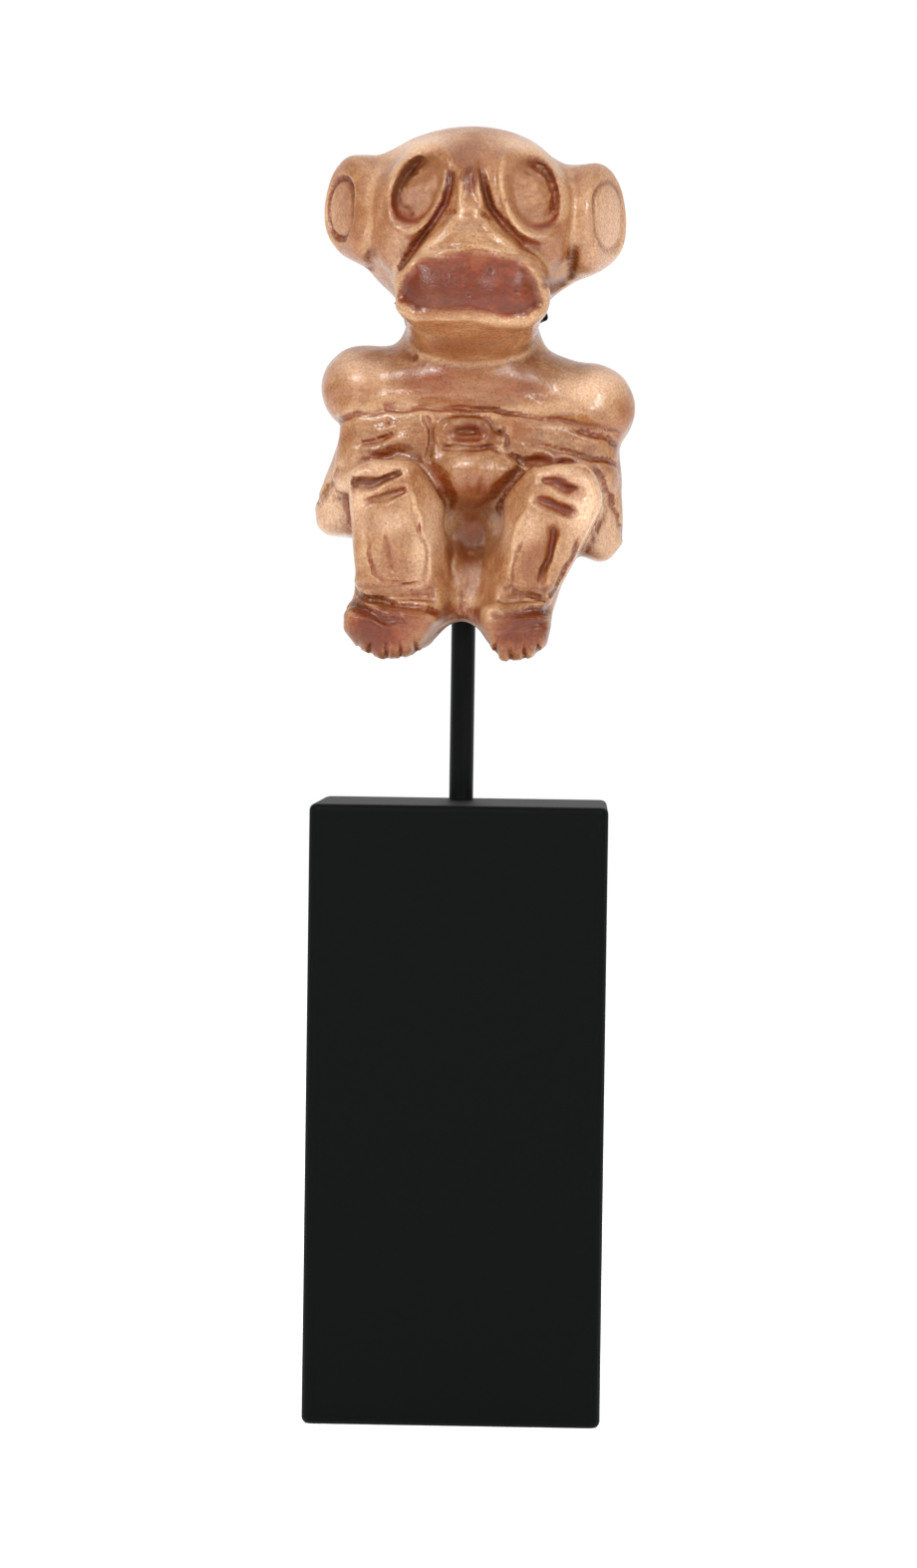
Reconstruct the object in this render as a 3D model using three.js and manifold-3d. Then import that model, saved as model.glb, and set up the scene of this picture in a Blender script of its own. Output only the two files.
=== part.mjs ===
// Carved bone amulet: a squatting goggle-eyed figure, held by the neck on a steel rod that stands in
// a black painted wooden block. Millimetres, +Z up, origin at the middle of the block's underside,
// the figure faces -Y.
import * as THREE from "three";
import { mergeVertices } from "three/addons/utils/BufferGeometryUtils.js";
import Module from "manifold-3d";

const wasm = await Module();
wasm.setup();

// Sizes of the stand
const BLOCK_SIDE = 38.1;
const BLOCK_HEIGHT = 79.2;
const BLOCK_EDGE = 0.8;
const ROD_DIAMETER = 3.2;
const ROD_X = -0.4;
const ROD_TOP = 45.5;
const BORE_DEPTH = 25;
const WIRE_DIAMETER = 1.4;
const CLEARANCE = 0.3;
// Soles of the figure above the top of the block
const FIGURE_LIFT = 18.4;
const FIGURE_Z = BLOCK_HEIGHT + FIGURE_LIFT;
// How finely the figure is surfaced, and how many triangles it keeps
const CELL = 0.5;
const FIGURE_TRIANGLES = 7800;

// Forms are signed distances in millimetres, negative inside. x is right, y back, z up from the soles.
const join = (a, b, k) => {
  const h = Math.max(k - Math.abs(a - b), 0) / k;
  return Math.min(a, b) - (h * h * k) / 4;
};
const meet = (a, b, k) => -join(-a, -b, k);
const clamp = (t) => Math.min(Math.max(t, 0), 1);
const soft = (x, low, high) => {
  const t = clamp((x - low) / (high - low));
  return t * t * (3 - 2 * t);
};
const bell = (x, width) => Math.exp(-((x / width) ** 2));
const length2 = (a, b) => Math.sqrt(a * a + b * b);
const length3 = (a, b, c) => Math.sqrt(a * a + b * b + c * c);

// An ellipsoid whose front can be tipped down by some degrees
function ellipsoid([cx, cy, cz], [rx, ry, rz], tip = 0) {
  const c = Math.cos((tip * Math.PI) / 180);
  const s = Math.sin((tip * Math.PI) / 180);
  return (px, py, pz) => {
    const x = px - cx;
    const y = (py - cy) * c - (pz - cz) * s;
    const z = (py - cy) * s + (pz - cz) * c;
    const near = length3(x / rx, y / ry, z / rz);
    const far = length3(x / (rx * rx), y / (ry * ry), z / (rz * rz)) + 1e-6;
    return (near * (near - 1)) / far;
  };
}

// A round bar between two points, thinner to and fro by the factor flat
function limb(a, b, ra, rb, flat = 1) {
  const e = b.map((v, i) => v - a[i]);
  const ee = e[0] ** 2 + e[1] ** 2 + e[2] ** 2;
  return (x, y, z) => {
    const h = clamp(((x - a[0]) * e[0] + (y - a[1]) * e[1] + (z - a[2]) * e[2]) / ee);
    const dx = x - a[0] - h * e[0];
    const dy = (y - a[1] - h * e[1]) * flat;
    const dz = z - a[2] - h * e[2];
    return length3(dx, dy, dz) - (ra + (rb - ra) * h);
  };
}

// A block with rounded edges
function slab([cx, cy, cz], half, r, tip = 0) {
  const c = Math.cos((tip * Math.PI) / 180);
  const s = Math.sin((tip * Math.PI) / 180);
  return (px, py, pz) => {
    const a = Math.abs(px - cx) - half[0] + r;
    const b = Math.abs((py - cy) * c - (pz - cz) * s) - half[1] + r;
    const d = Math.abs((py - cy) * s + (pz - cz) * c) - half[2] + r;
    const out = length3(Math.max(a, 0), Math.max(b, 0), Math.max(d, 0));
    return out + Math.min(Math.max(a, b, d), 0) - r;
  };
}

// Signed distance in the front view from an outline grown by r
function outline(points, r) {
  return (u, v) => {
    let best = 1e9;
    let side = 1;
    for (let i = 0, j = points.length - 1; i < points.length; j = i++) {
      const ex = points[j][0] - points[i][0];
      const ez = points[j][1] - points[i][1];
      const wx = u - points[i][0];
      const wz = v - points[i][1];
      const h = clamp((wx * ex + wz * ez) / (ex * ex + ez * ez));
      const dx = wx - ex * h;
      const dz = wz - ez * h;
      best = Math.min(best, dx * dx + dz * dz);
      const above = v >= points[i][1];
      const below = v < points[j][1];
      const left = ex * wz > ez * wx;
      if ((above && below && left) || (!above && !below && !left)) side = -side;
    }
    return side * Math.sqrt(best) - r;
  };
}

// A form cut to a front outline, with front and back faces rounded over by k, thinner toward its sides by bow
function pad(points, r, front, back, k, bow = 0) {
  const flat = outline(points, r);
  return (x, y, z) => {
    const half = (back - front) / 2 - bow * x * x;
    return meet(flat(x, z), Math.abs(y - (front + back) / 2) - half, k);
  };
}

// A leaned oval in the front view: 0 in the middle, 1 on its rim
function oval([cu, cv], [hu, hv], lean = 0, power = 2) {
  const c = Math.cos((lean * Math.PI) / 180);
  const s = Math.sin((lean * Math.PI) / 180);
  return (u, v) => {
    const a = Math.abs(((u - cu) * c - (v - cv) * s) / hu) ** power;
    const b = Math.abs(((u - cu) * s + (v - cv) * c) / hv) ** power;
    return power === 2 ? Math.sqrt(a + b) : (a + b) ** (1 / power);
  };
}

// A carved line through points in the front view: its depth at (u, v), running out at both ends
function stroke(points, width, depth, fade = 0.12, tail = fade) {
  const us = points.map((q) => q[0]);
  const vs = points.map((q) => q[1]);
  const reach = width / 2;
  const across = [Math.min(...us) - reach, Math.max(...us) + reach];
  const up = [Math.min(...vs) - reach, Math.max(...vs) + reach];
  const last = points.length - 1;
  return (u, v) => {
    if (u < across[0] || u > across[1] || v < up[0] || v > up[1]) return 0;
    let best = 1e9;
    let along = 0;
    for (let i = 0; i < last; i++) {
      const [ax, az] = points[i];
      const ex = points[i + 1][0] - ax;
      const ez = points[i + 1][1] - az;
      const h = clamp(((u - ax) * ex + (v - az) * ez) / (ex * ex + ez * ez));
      const d = length2(u - ax - h * ex, v - az - h * ez);
      if (d < best) {
        best = d;
        along = (i + h) / last;
      }
    }
    const t = clamp(best / reach);
    return depth * (1 - t * t) ** 2 * soft(along, -0.02, fade) * (1 - soft(along, 1 - tail, 1.02));
  };
}

// The two sides differ a little, as hand carving does. s is -1 for the left of the picture, 1 for the right.
const LEFT = {
  s: -1,
  ear: [-12.5, -2.3, 57.7],
  earHalf: [5.1, 5.7, 7.7],
  under: [-12.5, 49.7],
  disc: oval([-0.1, 0.7], [3.7, 4.2], 4, 2.3),
  discDepth: 0.9,
  eye: [-6.5, 60.6],
  eyeHalf: [3.0, 4.9],
  eyeLean: 22, eyeDepth: [1.2, 0.8],
  deltoid: ellipsoid([-13.6, 0.3, 35.4], [5.5, 6.6, 5.4]),
  arm: pad([[-14.2, 29], [-17.6, 19.8], [-17.5, 18.4], [-12, 18], [-12, 28]], 2.2, -2.4, 6, 3.2),
  leg: pad(
    [[-12.5, 22.6], [-11.2, 23.2], [-7.8, 23.1], [-5, 19], [-4.2, 14], [-4.6, 8], [-5.6, 5.5], [-12, 5.5],
      [-11.3, 11], [-11.9, 18]],
    2.6, -14.6, 3, 3,
  ),
  shinEdge: (z) => -5.2 - 0.13 * (z - 13),
  foot: pad(
    [[-14, 6.5], [-14, 4.2], [-12.7, 2.5], [-10.2, 1.3], [-7.6, 1.6], [-5.4, 3.2], [-4, 5.2], [-4.8, 7]],
    1.2, -15, -4, 2.6,
  ),
};
const RIGHT = {
  s: 1,
  ear: [14, -2.3, 56.8],
  earHalf: [5, 5.8, 7.9],
  under: [16, 49.6],
  disc: oval([-0.1, 1], [4, 4.7], -4, 2.3),
  discDepth: 0.5,
  eye: [8.4, 60.2],
  eyeHalf: [3.2, 5],
  eyeLean: -16, eyeDepth: [0.7, 1.1],
  deltoid: ellipsoid([15.9, 0.3, 33.2], [5.9, 6.6, 5.7]),
  arm: pad([[17.5, 28.5], [18, 23], [18.3, 16.5], [17.5, 15.4], [12, 17.5], [12, 28]], 2.2, -2.4, 6, 3.2),
  leg: pad(
    [[9.8, 22.6], [12, 22.9], [14.6, 22.6], [15.2, 21], [13.1, 16.6], [10.3, 11.5], [8.6, 6], [4.6, 5.5],
      [5.2, 9], [6.6, 15], [7.6, 20]],
    2.6, -14.6, 3, 3,
  ),
  shinEdge: (z) => 5.2 + 0.25 * (z - 9.4),
  foot: pad(
    [[3.2, 6.5], [3.3, 4.6], [4.3, 2.4], [5.6, 1.3], [8.3, 1.6], [9.7, 2.9], [10, 4.4], [9.9, 7]],
    1.2, -15, -4, 2.6,
  ),
};
const SIDES = [LEFT, RIGHT];

// Head: dome, broad cheeks, jaw, and a low muzzle that stands well forward
const dome = ellipsoid([0.1, -1.2, 61], [12.6, 11.8, 8.5]);
const cheeks = slab([0.2, -1.6, 56.8], [12.7, 11, 7.4], 5);
const jaw = ellipsoid([0.4, -1.4, 51.2], [12.6, 10, 6]);
const throat = ellipsoid([0.5, -1.5, 48.6], [10, 9, 7]);
const muzzle = slab([0.7, -10.4, 47.7], [9.7, 8.2, 5.2], 4.4, -5);
const chin = ellipsoid([0.6, -6.8, 42.9], [8.2, 7.4, 4.4]);
const upperLip = ellipsoid([0.2, -10.2, 52.6], [6.6, 7, 5.6], -14);
function head(x, y, z) {
  let d = join(dome(x, y, z), cheeks(x, y, z), 1.5);
  d = join(d, jaw(x, y, z), 1.5);
  d = join(d, throat(x, y, z), 1.5);
  d = join(d, muzzle(x, y, z), 1.6);
  d = join(d, chin(x, y, z), 2);
  return join(d, upperLip(x, y, z), 2.2);
}

// Ears: thick oval spools that face sixty degrees outward, pared away below
const EAR_YAW = Math.PI / 3;
const EAR_ROUND = 2.4;
const UNDER_SLOPE = [0.52, -0.854];
for (const side of SIDES) {
  const [ex, ey, ez] = side.ear;
  const [deep, wide, tall] = side.earHalf;
  const c = Math.cos(side.s * EAR_YAW);
  const s = Math.sin(side.s * EAR_YAW);
  // The spool's own directions: across its face, outward (negative) and up
  side.local = (x, y, z) => [(x - ex) * c + (y - ey) * s, (y - ey) * c - (x - ex) * s, z - ez];
  side.spool = (x, y, z) => {
    const [a, o, u] = side.local(x, y, z);
    const radial = (length2(a / wide, u / tall) - 1) * Math.min(wide, tall) + EAR_ROUND;
    const axial = Math.abs(o) - deep + EAR_ROUND;
    const out = length2(Math.max(radial, 0), Math.max(axial, 0));
    const d = out + Math.min(Math.max(radial, axial), 0) - EAR_ROUND;
    const under = (x - side.under[0]) * side.s * UNDER_SLOPE[0] + (z - side.under[1]) * UNDER_SLOPE[1];
    return meet(d, under, 3);
  };
}

// Torso: a broad bar of the shoulders with a short neck
const shoulders = limb([-13.2, 0.3, 35.3], [15.6, 0.3, 33.2], 5.2, 5.6, 0.78);
const chest = ellipsoid([0.6, -0.2, 36.6], [13, 8.9, 5.6]);
const neck = ellipsoid([0.5, -0.8, 41.5], [9, 7.8, 7]);
function torso(x, y, z) {
  let d = shoulders(x, y, z);
  for (const side of SIDES) d = join(d, side.deltoid(x, y, z), 1.5);
  d = join(d, chest(x, y, z), 3);
  return join(d, neck(x, y, z), 2.2);
}

// Trunk: the waist band, a small belly and the seat
const waist = pad(
  [[-14.3, 31.5], [-14.6, 28.5], [-15.6, 23.5], [17.8, 23.5], [17.5, 27.8], [18.6, 31.5]],
  2, -8.4, 7.9, 3, 0.009,
);
const belly = ellipsoid([1.4, -4.4, 24.6], [6.8, 5.4, 4.4], 10);
const seat = pad(
  [[-8.5, 22], [-10, 14], [-9.6, 8.5], [-6.5, 5], [5.2, 5], [7.6, 8.5], [9.6, 15], [11, 22]],
  2.8, -5.4, 7.9, 4, 0.02,
);
function trunk(x, y, z) {
  return join(join(waist(x, y, z), belly(x, y, z), 1), seat(x, y, z), 2.5);
}

// Legs: knees drawn up in front, each shin a flat plane with the inside of the thigh sloping away from it
const SHIN_TOP_Y = -14.6;
const SHIN_LEAN = 0.13;
function leg(side, x, y, z) {
  const plane = SHIN_TOP_Y + SHIN_LEAN * (22 - z) - y;
  const inner = -side.s * (x - side.shinEdge(z)) * 0.79 - (y + 14) * 0.613;
  const d = meet(meet(side.leg(x, y, z), plane, 2.4), inner, 1.1);
  return join(d, side.foot(x, y, z), 0.8);
}
const web = pad([[-5, 14], [-6, 4], [5, 4], [4.5, 14]], 1.6, -8.6, 2, 2.5);
const arch = oval([-0.5, -1.5], [4.4, 6.8]);
const ARCH_HALF = 4.4;

function body(x, y, z) {
  let d = join(torso(x, y, z), trunk(x, y, z), 0.5);
  for (const side of SIDES) d = join(d, side.arm(x, y, z), 0.8);
  let top = head(x, y, z);
  for (const side of SIDES) top = join(top, side.spool(x, y, z), 0.9);
  d = join(d, top, 1.6);
  const legs = join(leg(LEFT, x, y, z), leg(RIGHT, x, y, z), 1);
  d = join(join(d, legs, 0.7), web(x, y, z), 3);
  return meet(d, (1 - arch(x, z)) * ARCH_HALF, 1.8);
}

// Carving: lines and hollows drawn in the front view and sunk into the surface that faces it
const EYES = SIDES.map((side) => oval(side.eye, side.eyeHalf, side.eyeLean, 2.2));
const NOSE_FURROWS = [
  stroke(
    [[-2.2, 63.2], [-2.4, 60.9], [-3, 58.6], [-4.7, 55.7], [-6.8, 52.8], [-8.3, 50.2], [-8.9, 46.9]],
    1.6, 1.25, 0.1, 0.25,
  ),
  stroke([[1.3, 64.3], [2, 60.9], [2.9, 58], [4.8, 55.5], [6.6, 53.9], [7.6, 52.4]], 1.6, 1.1, 0.1, 0.45),
];
const MOUTH = outline(
  [[-7, 45.9], [-6.7, 48.6], [-4.9, 50.6], [0.3, 51], [5.8, 50.4], [7.9, 48.2], [8.3, 45.7], [6.9, 45.1],
    [0.4, 45.7], [-5.4, 45.9]],
  1.5,
);
const TEETH_SIDES = [-4, 5.4].map((x) => oval([x, 47.5], [3.1, 2.6]));
const EAR_SEAMS = [
  stroke([[-11.6, 64], [-12, 59.6], [-12.5, 55.1], [-12.7, 50.5]], 1.3, 0.8, 0.2, 0.05),
  stroke([[13.2, 63], [13.2, 58.1], [13.2, 54.2], [12.8, 49.2]], 1.3, 0.7, 0.25, 0.05),
];
const BAND_LINES = [
  stroke(
    [[-17, 30.6], [-14.8, 31.6], [-8.7, 32.3], [-3.5, 32.6], [1.6, 32.6], [6.7, 31.9], [11.9, 31.3],
      [17.1, 30.5], [21.5, 29.6]],
    1.4, 0.9, 0.02,
  ),
  stroke([[-5.4, 31.6], [-4.7, 29.8], [-4.5, 27.4], [-5, 25.6]], 1.4, 1.1, 0.1),
  stroke([[2.6, 31], [4.1, 29.8], [5.2, 28.7], [5.4, 27.5], [6.8, 25.9], [10.1, 25.3]], 1.3, 1, 0.1),
  stroke([[-14.6, 27.5], [-11.8, 28.4], [-8.7, 29.8]], 1.2, 0.45, 0.2),
  stroke([[7.3, 28.7], [10, 27.7], [13.9, 27], [17.1, 26.3], [20.4, 25.3]], 1.2, 0.6, 0.1, 0.05),
  stroke([[-3.4, 27.6], [0.4, 27.4], [3, 27.7], [4.6, 26.8]], 1.2, 0.7, 0.1),
];
const NAVEL = oval([0, 29.5], [2.9, 1.65], 0, 2.4);
const NAVEL_SLOT = oval([0.1, 29.6], [1.9, 0.7], 0, 2.6);
const LEG_LINES = [
  stroke([[-14.6, 22.2], [-11.5, 22.6], [-8, 23.8]], 1.6, 0.9),
  stroke([[-14, 20.2], [-10.2, 20.6], [-6.9, 22]], 1.3, 0.6),
  stroke([[9.9, 23], [12.7, 22.3], [16.3, 21]], 1.6, 0.9),
  stroke([[8.4, 20.6], [11.4, 19.9], [15.2, 18.6]], 1.7, 0.9),
  stroke([[11.9, 17.4], [10.9, 13.3], [9.7, 9.2]], 1.3, 0.7),
  stroke([[-12.5, 18.2], [-12.2, 14.2], [-11.4, 11.4], [-10.2, 10]], 1.1, 0.45),
  stroke([[-5.1, 10], [-4.5, 11.8], [-4.8, 14.3], [-5.7, 16.9]], 1.1, 0.45),
  stroke([[7.2, 15.4], [6.2, 11.3], [5.7, 9.1]], 1.1, 0.5),
  stroke([[-14.6, 9.2], [-13.1, 8.1], [-9.5, 7.2], [-5.3, 6.3], [-2.8, 5.8]], 1.2, 0.75),
  stroke([[-14.8, 7.4], [-12.6, 6.3], [-9.4, 5.1], [-5.6, 4.3]], 1.2, 0.6),
  stroke([[3.1, 5.7], [6.5, 6], [10.3, 6.5], [12.2, 6.9]], 1.2, 0.6),
];
const BELLY = outline([[-3.4, 25.4], [1.1, 26.6], [6, 24.4], [1.2, 19.2]], 0.8);
const TOE_GAPS = [-13.3, -11.7, -9.6, -7.8, -6, 4.4, 6.2, 8, 9.6];
const ELBOW_LINES = [
  stroke([[-15, 25.5], [-16.3, 24.2], [-17.7, 22.3], [-19.4, 20.2]], 1.2, 0.5, 0.1, 0.02),
  stroke([[16.3, 26], [17.4, 23.9], [18.7, 21.1], [20.6, 16.5]], 1.2, 0.5, 0.1, 0.02),
];
// The back is plainer: a furrow down the spine, shoulder blades, the inner edges of the arms, the seat
const BACK_LINES = [
  stroke([[-0.4, 44], [-0.2, 32], [0, 20], [0, 7]], 3, 0.8, 0.05),
  stroke([[-4.2, 38], [-6.6, 35], [-5.4, 31.5]], 1.6, 0.5, 0.3),
  stroke([[5, 37.4], [7.6, 34.2], [6.4, 30.8]], 1.6, 0.5, 0.3),
  stroke([[-12.6, 31], [-12.9, 25], [-12.4, 18]], 1.8, 0.8, 0.1),
  stroke([[14.4, 30], [14.2, 24], [13.4, 17]], 1.8, 0.8, 0.1),
  stroke([[-9.4, 13], [-5, 10.8], [-0.6, 12.2], [4.6, 10.8], [9, 13]], 1.6, 0.5, 0.2),
];
// The fold between thigh and shin, drawn in the side view
const THIGH_FOLD = stroke([[-9.2, 21.2], [-7, 15.5], [-5.4, 9.2]], 2, 0.9, 0.2);
function sum(lines, x, z) {
  let total = 0;
  for (const line of lines) total += line(x, z);
  return total;
}

// Eyes as steep-walled hollows inside a raised rim, furrows, nose, mouth
function faceCarving(x, y, z) {
  let cut = 0;
  SIDES.forEach((side, i) => {
    const e = EYES[i](x, z);
    const out = side.s * (x - side.eye[0]);
    const outer = soft(out, -side.eyeHalf[0], side.eyeHalf[0]);
    cut += (side.eyeDepth[0] + side.eyeDepth[1] * outer) * (1 - soft(e, 0.72, 1.02));
    cut -= 0.5 * bell(e - 1.2, 0.15) * soft(0.6 * (side.eye[1] - z) - out, -3, 2) + 0.2 * bell(e - 1.2, 0.2);
  });
  cut += sum(NOSE_FURROWS, x, z);
  const noseHalf = 1.7 + 0.18 * (63 - z);
  const roof = clamp(1 - Math.abs(x - 0.1) / (noseHalf + 0.5));
  cut -= 1.05 * soft(z, 55.4, 58) * (1 - soft(z, 61, 66)) * soft(roof, 0, 0.75);
  const m = MOUTH(x, z);
  const bulge = TEETH_SIDES.reduce((total, side) => total + bell(side(x, z), 1), 0);
  const below = 1 - soft(z, 48.4, 50.6);
  const pit = (1 - soft(m, -1.3, 0.15)) * (0.5 + 0.5 * below) * (0.95 - 0.5 * bulge);
  const mouth = pit - 0.35 * below * bell(m - 0.7, 0.5);
  return cut + mouth * soft(-y, 9, 13);
}

// A ring round each ear's face, and the seam where the ear leaves the head
function earCarving(x, y, z, front) {
  let cut = sum(EAR_SEAMS, x, z) * front;
  for (const side of SIDES) {
    const [a, o, u] = side.local(x, y, z);
    const outward = soft(-o, 1.5, 3.5);
    if (!outward) continue;
    const r = side.disc(a, u);
    cut += outward * side.discDepth * (bell(r - 0.93, 0.12) + 0.4 * (1 - soft(r, 0.8, 0.95)));
  }
  return cut;
}

function carving(x, y, z) {
  const front = soft(-y, 1, 3.5);
  let cut = z > 36 ? earCarving(x, y, z, front) : 0;
  if (z > 38 && front) cut += faceCarving(x, y, z) * front * soft(z, 38, 41);
  if (z < 36 && front) {
    const ring = 0.75 * (1 - soft(NAVEL_SLOT(x, z), 0.6, 1.1)) - 0.5 * bell(NAVEL(x, z) - 0.78, 0.22);
    cut += front * (1 - soft(z, 34, 36)) * (sum(BAND_LINES, x, z) + ring);
    cut -= 0.55 * front * (1 - soft(BELLY(x, z), -2.4, 0.8));
    cut += 2.2 * front * bell(x - 0.9, 3.4) * soft(z, 4, 15) * (1 - soft(z, 17, 21));
    const shin = front * soft(-y, 8, 10.5);
    const ledge = soft(z, 5.5, 7) * (1 - soft(z, 9, 10.2)) * soft(Math.abs(x - 0.6), 3.6, 5);
    cut += shin * (sum(LEG_LINES, x, z) + 0.45 * ledge);
    const toes = 0.45 * (1 - soft(z, 1.4, 3.2)) * soft(-y, 5, 8);
    for (const gap of TOE_GAPS) cut += toes * (1 - clamp(Math.abs(x - gap) / 0.6) ** 2) ** 2;
  }
  if (z < 31) cut += soft(-y, -3.5, -1.5) * (1 - soft(z, 29, 31)) * sum(ELBOW_LINES, x, z);
  if (z < 24) cut += THIGH_FOLD(y, z) * (soft(-x, 8, 12) + soft(x, 7, 10));
  return y > 1 ? cut + soft(y, 1, 3.5) * sum(BACK_LINES, x, z) : cut;
}
const figure = (x, y, z) => body(x, y, z) + carving(x, y, z);

// Surface of a form over a box of cells, one point to a cell that the surface crosses, joined by quads
function surface(form, low, high, cell) {
  const n = low.map((v, i) => Math.ceil((high[i] - v) / cell) + 1);
  const at = (i, j, k) => (i * n[1] + j) * n[2] + k;
  const value = new Float32Array(n[0] * n[1] * n[2]);
  // Blocks far from the surface get one value
  const block = 4;
  const reach = block * cell * 0.9 + 2.5;
  for (let i = 0; i < n[0]; i += block)
    for (let j = 0; j < n[1]; j += block)
      for (let k = 0; k < n[2]; k += block) {
        const mid = [i, j, k].map((v, a) => low[a] + (v + (block - 1) / 2) * cell);
        const rough = form(...mid);
        const far = Math.abs(rough) > reach;
        for (let a = i; a < Math.min(i + block, n[0]); a++)
          for (let b = j; b < Math.min(j + block, n[1]); b++)
            for (let c = k; c < Math.min(k + block, n[2]); c++)
              value[at(a, b, c)] = far ? rough : form(low[0] + a * cell, low[1] + b * cell, low[2] + c * cell);
      }
  // The corners of a cell, the edges between them, and the cells whose inside and outside are one patch each
  const corners = [0, 1, 2, 3, 4, 5, 6, 7].map((c) => [c >> 2, (c >> 1) & 1, c & 1]);
  const offsets = corners.map(([a, b, c]) => at(a, b, c));
  const edges = [];
  for (let a = 0; a < 8; a++) for (const bit of [1, 2, 4]) if (!(a & bit)) edges.push([a, a | bit]);
  const connected = (mask) => {
    let seen = mask & -mask;
    for (let grown = 0; grown !== seen; ) {
      grown = seen;
      for (const [a, b] of edges) {
        const pair = (1 << a) | (1 << b);
        if ((mask & pair) === pair && seen & pair) seen |= pair;
      }
    }
    return seen === mask;
  };
  const plain = Array.from({ length: 256 }, (_, mask) => connected(mask) && connected(255 - mask));
  // Keeps the surface a little off the corners, so no two points fall together
  const off = 0.05 * cell;
  for (let c = 0; c < value.length; c++) if (Math.abs(value[c]) < off) value[c] = value[c] < 0 ? -off : off;
  const maskAt = (cellAt) => {
    let mask = 0;
    for (let c = 0; c < 8; c++) if (value[cellAt + offsets[c]] < 0) mask |= 1 << c;
    return mask;
  };
  const cells = [];
  for (let i = 0; i < n[0] - 1; i++)
    for (let j = 0; j < n[1] - 1; j++) for (let k = 0; k < n[2] - 1; k++) cells.push([i, j, k]);
  // Fills the outside corner nearest the surface wherever two patches would touch at a point or an edge
  for (let filled = 1; filled; ) {
    filled = 0;
    for (const [i, j, k] of cells) {
      const here = at(i, j, k);
      if (plain[maskAt(here)]) continue;
      const outside = offsets.filter((o) => value[here + o] >= 0);
      const nearest = outside.reduce((a, b) => (value[here + a] < value[here + b] ? a : b));
      value[here + nearest] = -off;
      filled++;
    }
  }
  const ids = new Int32Array(value.length).fill(-1);
  const points = [];
  for (const [i, j, k] of cells) {
    const here = at(i, j, k);
    const mask = maskAt(here);
    if (mask === 0 || mask === 255) continue;
    const p = [0, 0, 0];
    let crossed = 0;
    for (const [a, b] of edges) {
      const va = value[here + offsets[a]];
      const vb = value[here + offsets[b]];
      if (va < 0 === vb < 0) continue;
      crossed++;
      for (let q = 0; q < 3; q++) p[q] += corners[a][q] + (va / (va - vb)) * (corners[b][q] - corners[a][q]);
    }
    ids[here] = points.length;
    points.push([i, j, k].map((w, q) => low[q] + (w + p[q] / crossed) * cell));
  }
  const faces = [];
  const quad = (a, b, c, d, flip) =>
    flip ? faces.push([a, d, c], [a, c, b]) : faces.push([a, b, c], [a, c, d]);
  for (let i = 1; i < n[0] - 1; i++)
    for (let j = 1; j < n[1] - 1; j++)
      for (let k = 1; k < n[2] - 1; k++) {
        const here = value[at(i, j, k)] < 0;
        const id = (a, b, c) => ids[at(i + a, j + b, k + c)];
        if (here !== value[at(i + 1, j, k)] < 0)
          quad(id(0, -1, -1), id(0, 0, -1), id(0, 0, 0), id(0, -1, 0), !here);
        if (here !== value[at(i, j + 1, k)] < 0)
          quad(id(-1, 0, -1), id(-1, 0, 0), id(0, 0, 0), id(0, 0, -1), !here);
        if (here !== value[at(i, j, k + 1)] < 0)
          quad(id(-1, -1, 0), id(0, -1, 0), id(0, 0, 0), id(-1, 0, 0), !here);
      }
  return { points, faces };
}

// A list that gives back its cheapest entry first
class Queue {
  constructor() {
    this.heap = [];
  }
  push(entry) {
    const heap = this.heap;
    let i = heap.push(entry) - 1;
    while (i > 0) {
      const up = (i - 1) >> 1;
      if (heap[up].cost <= entry.cost) break;
      heap[i] = heap[up];
      i = up;
    }
    heap[i] = entry;
  }
  pop() {
    const heap = this.heap;
    const first = heap[0];
    const entry = heap.pop();
    const count = heap.length;
    if (!count) return first;
    let i = 0;
    for (;;) {
      let down = 2 * i + 1;
      if (down >= count) break;
      if (down + 1 < count && heap[down + 1].cost < heap[down].cost) down++;
      if (heap[down].cost >= entry.cost) break;
      heap[i] = heap[down];
      i = down;
    }
    heap[i] = entry;
    return first;
  }
}

const minus = (a, b) => [a[0] - b[0], a[1] - b[1], a[2] - b[2]];
const cross = (a, b) => [a[1] * b[2] - a[2] * b[1], a[2] * b[0] - a[0] * b[2], a[0] * b[1] - a[1] * b[0]];
const dot = (a, b) => a[0] * b[0] + a[1] * b[1] + a[2] * b[2];

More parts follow.
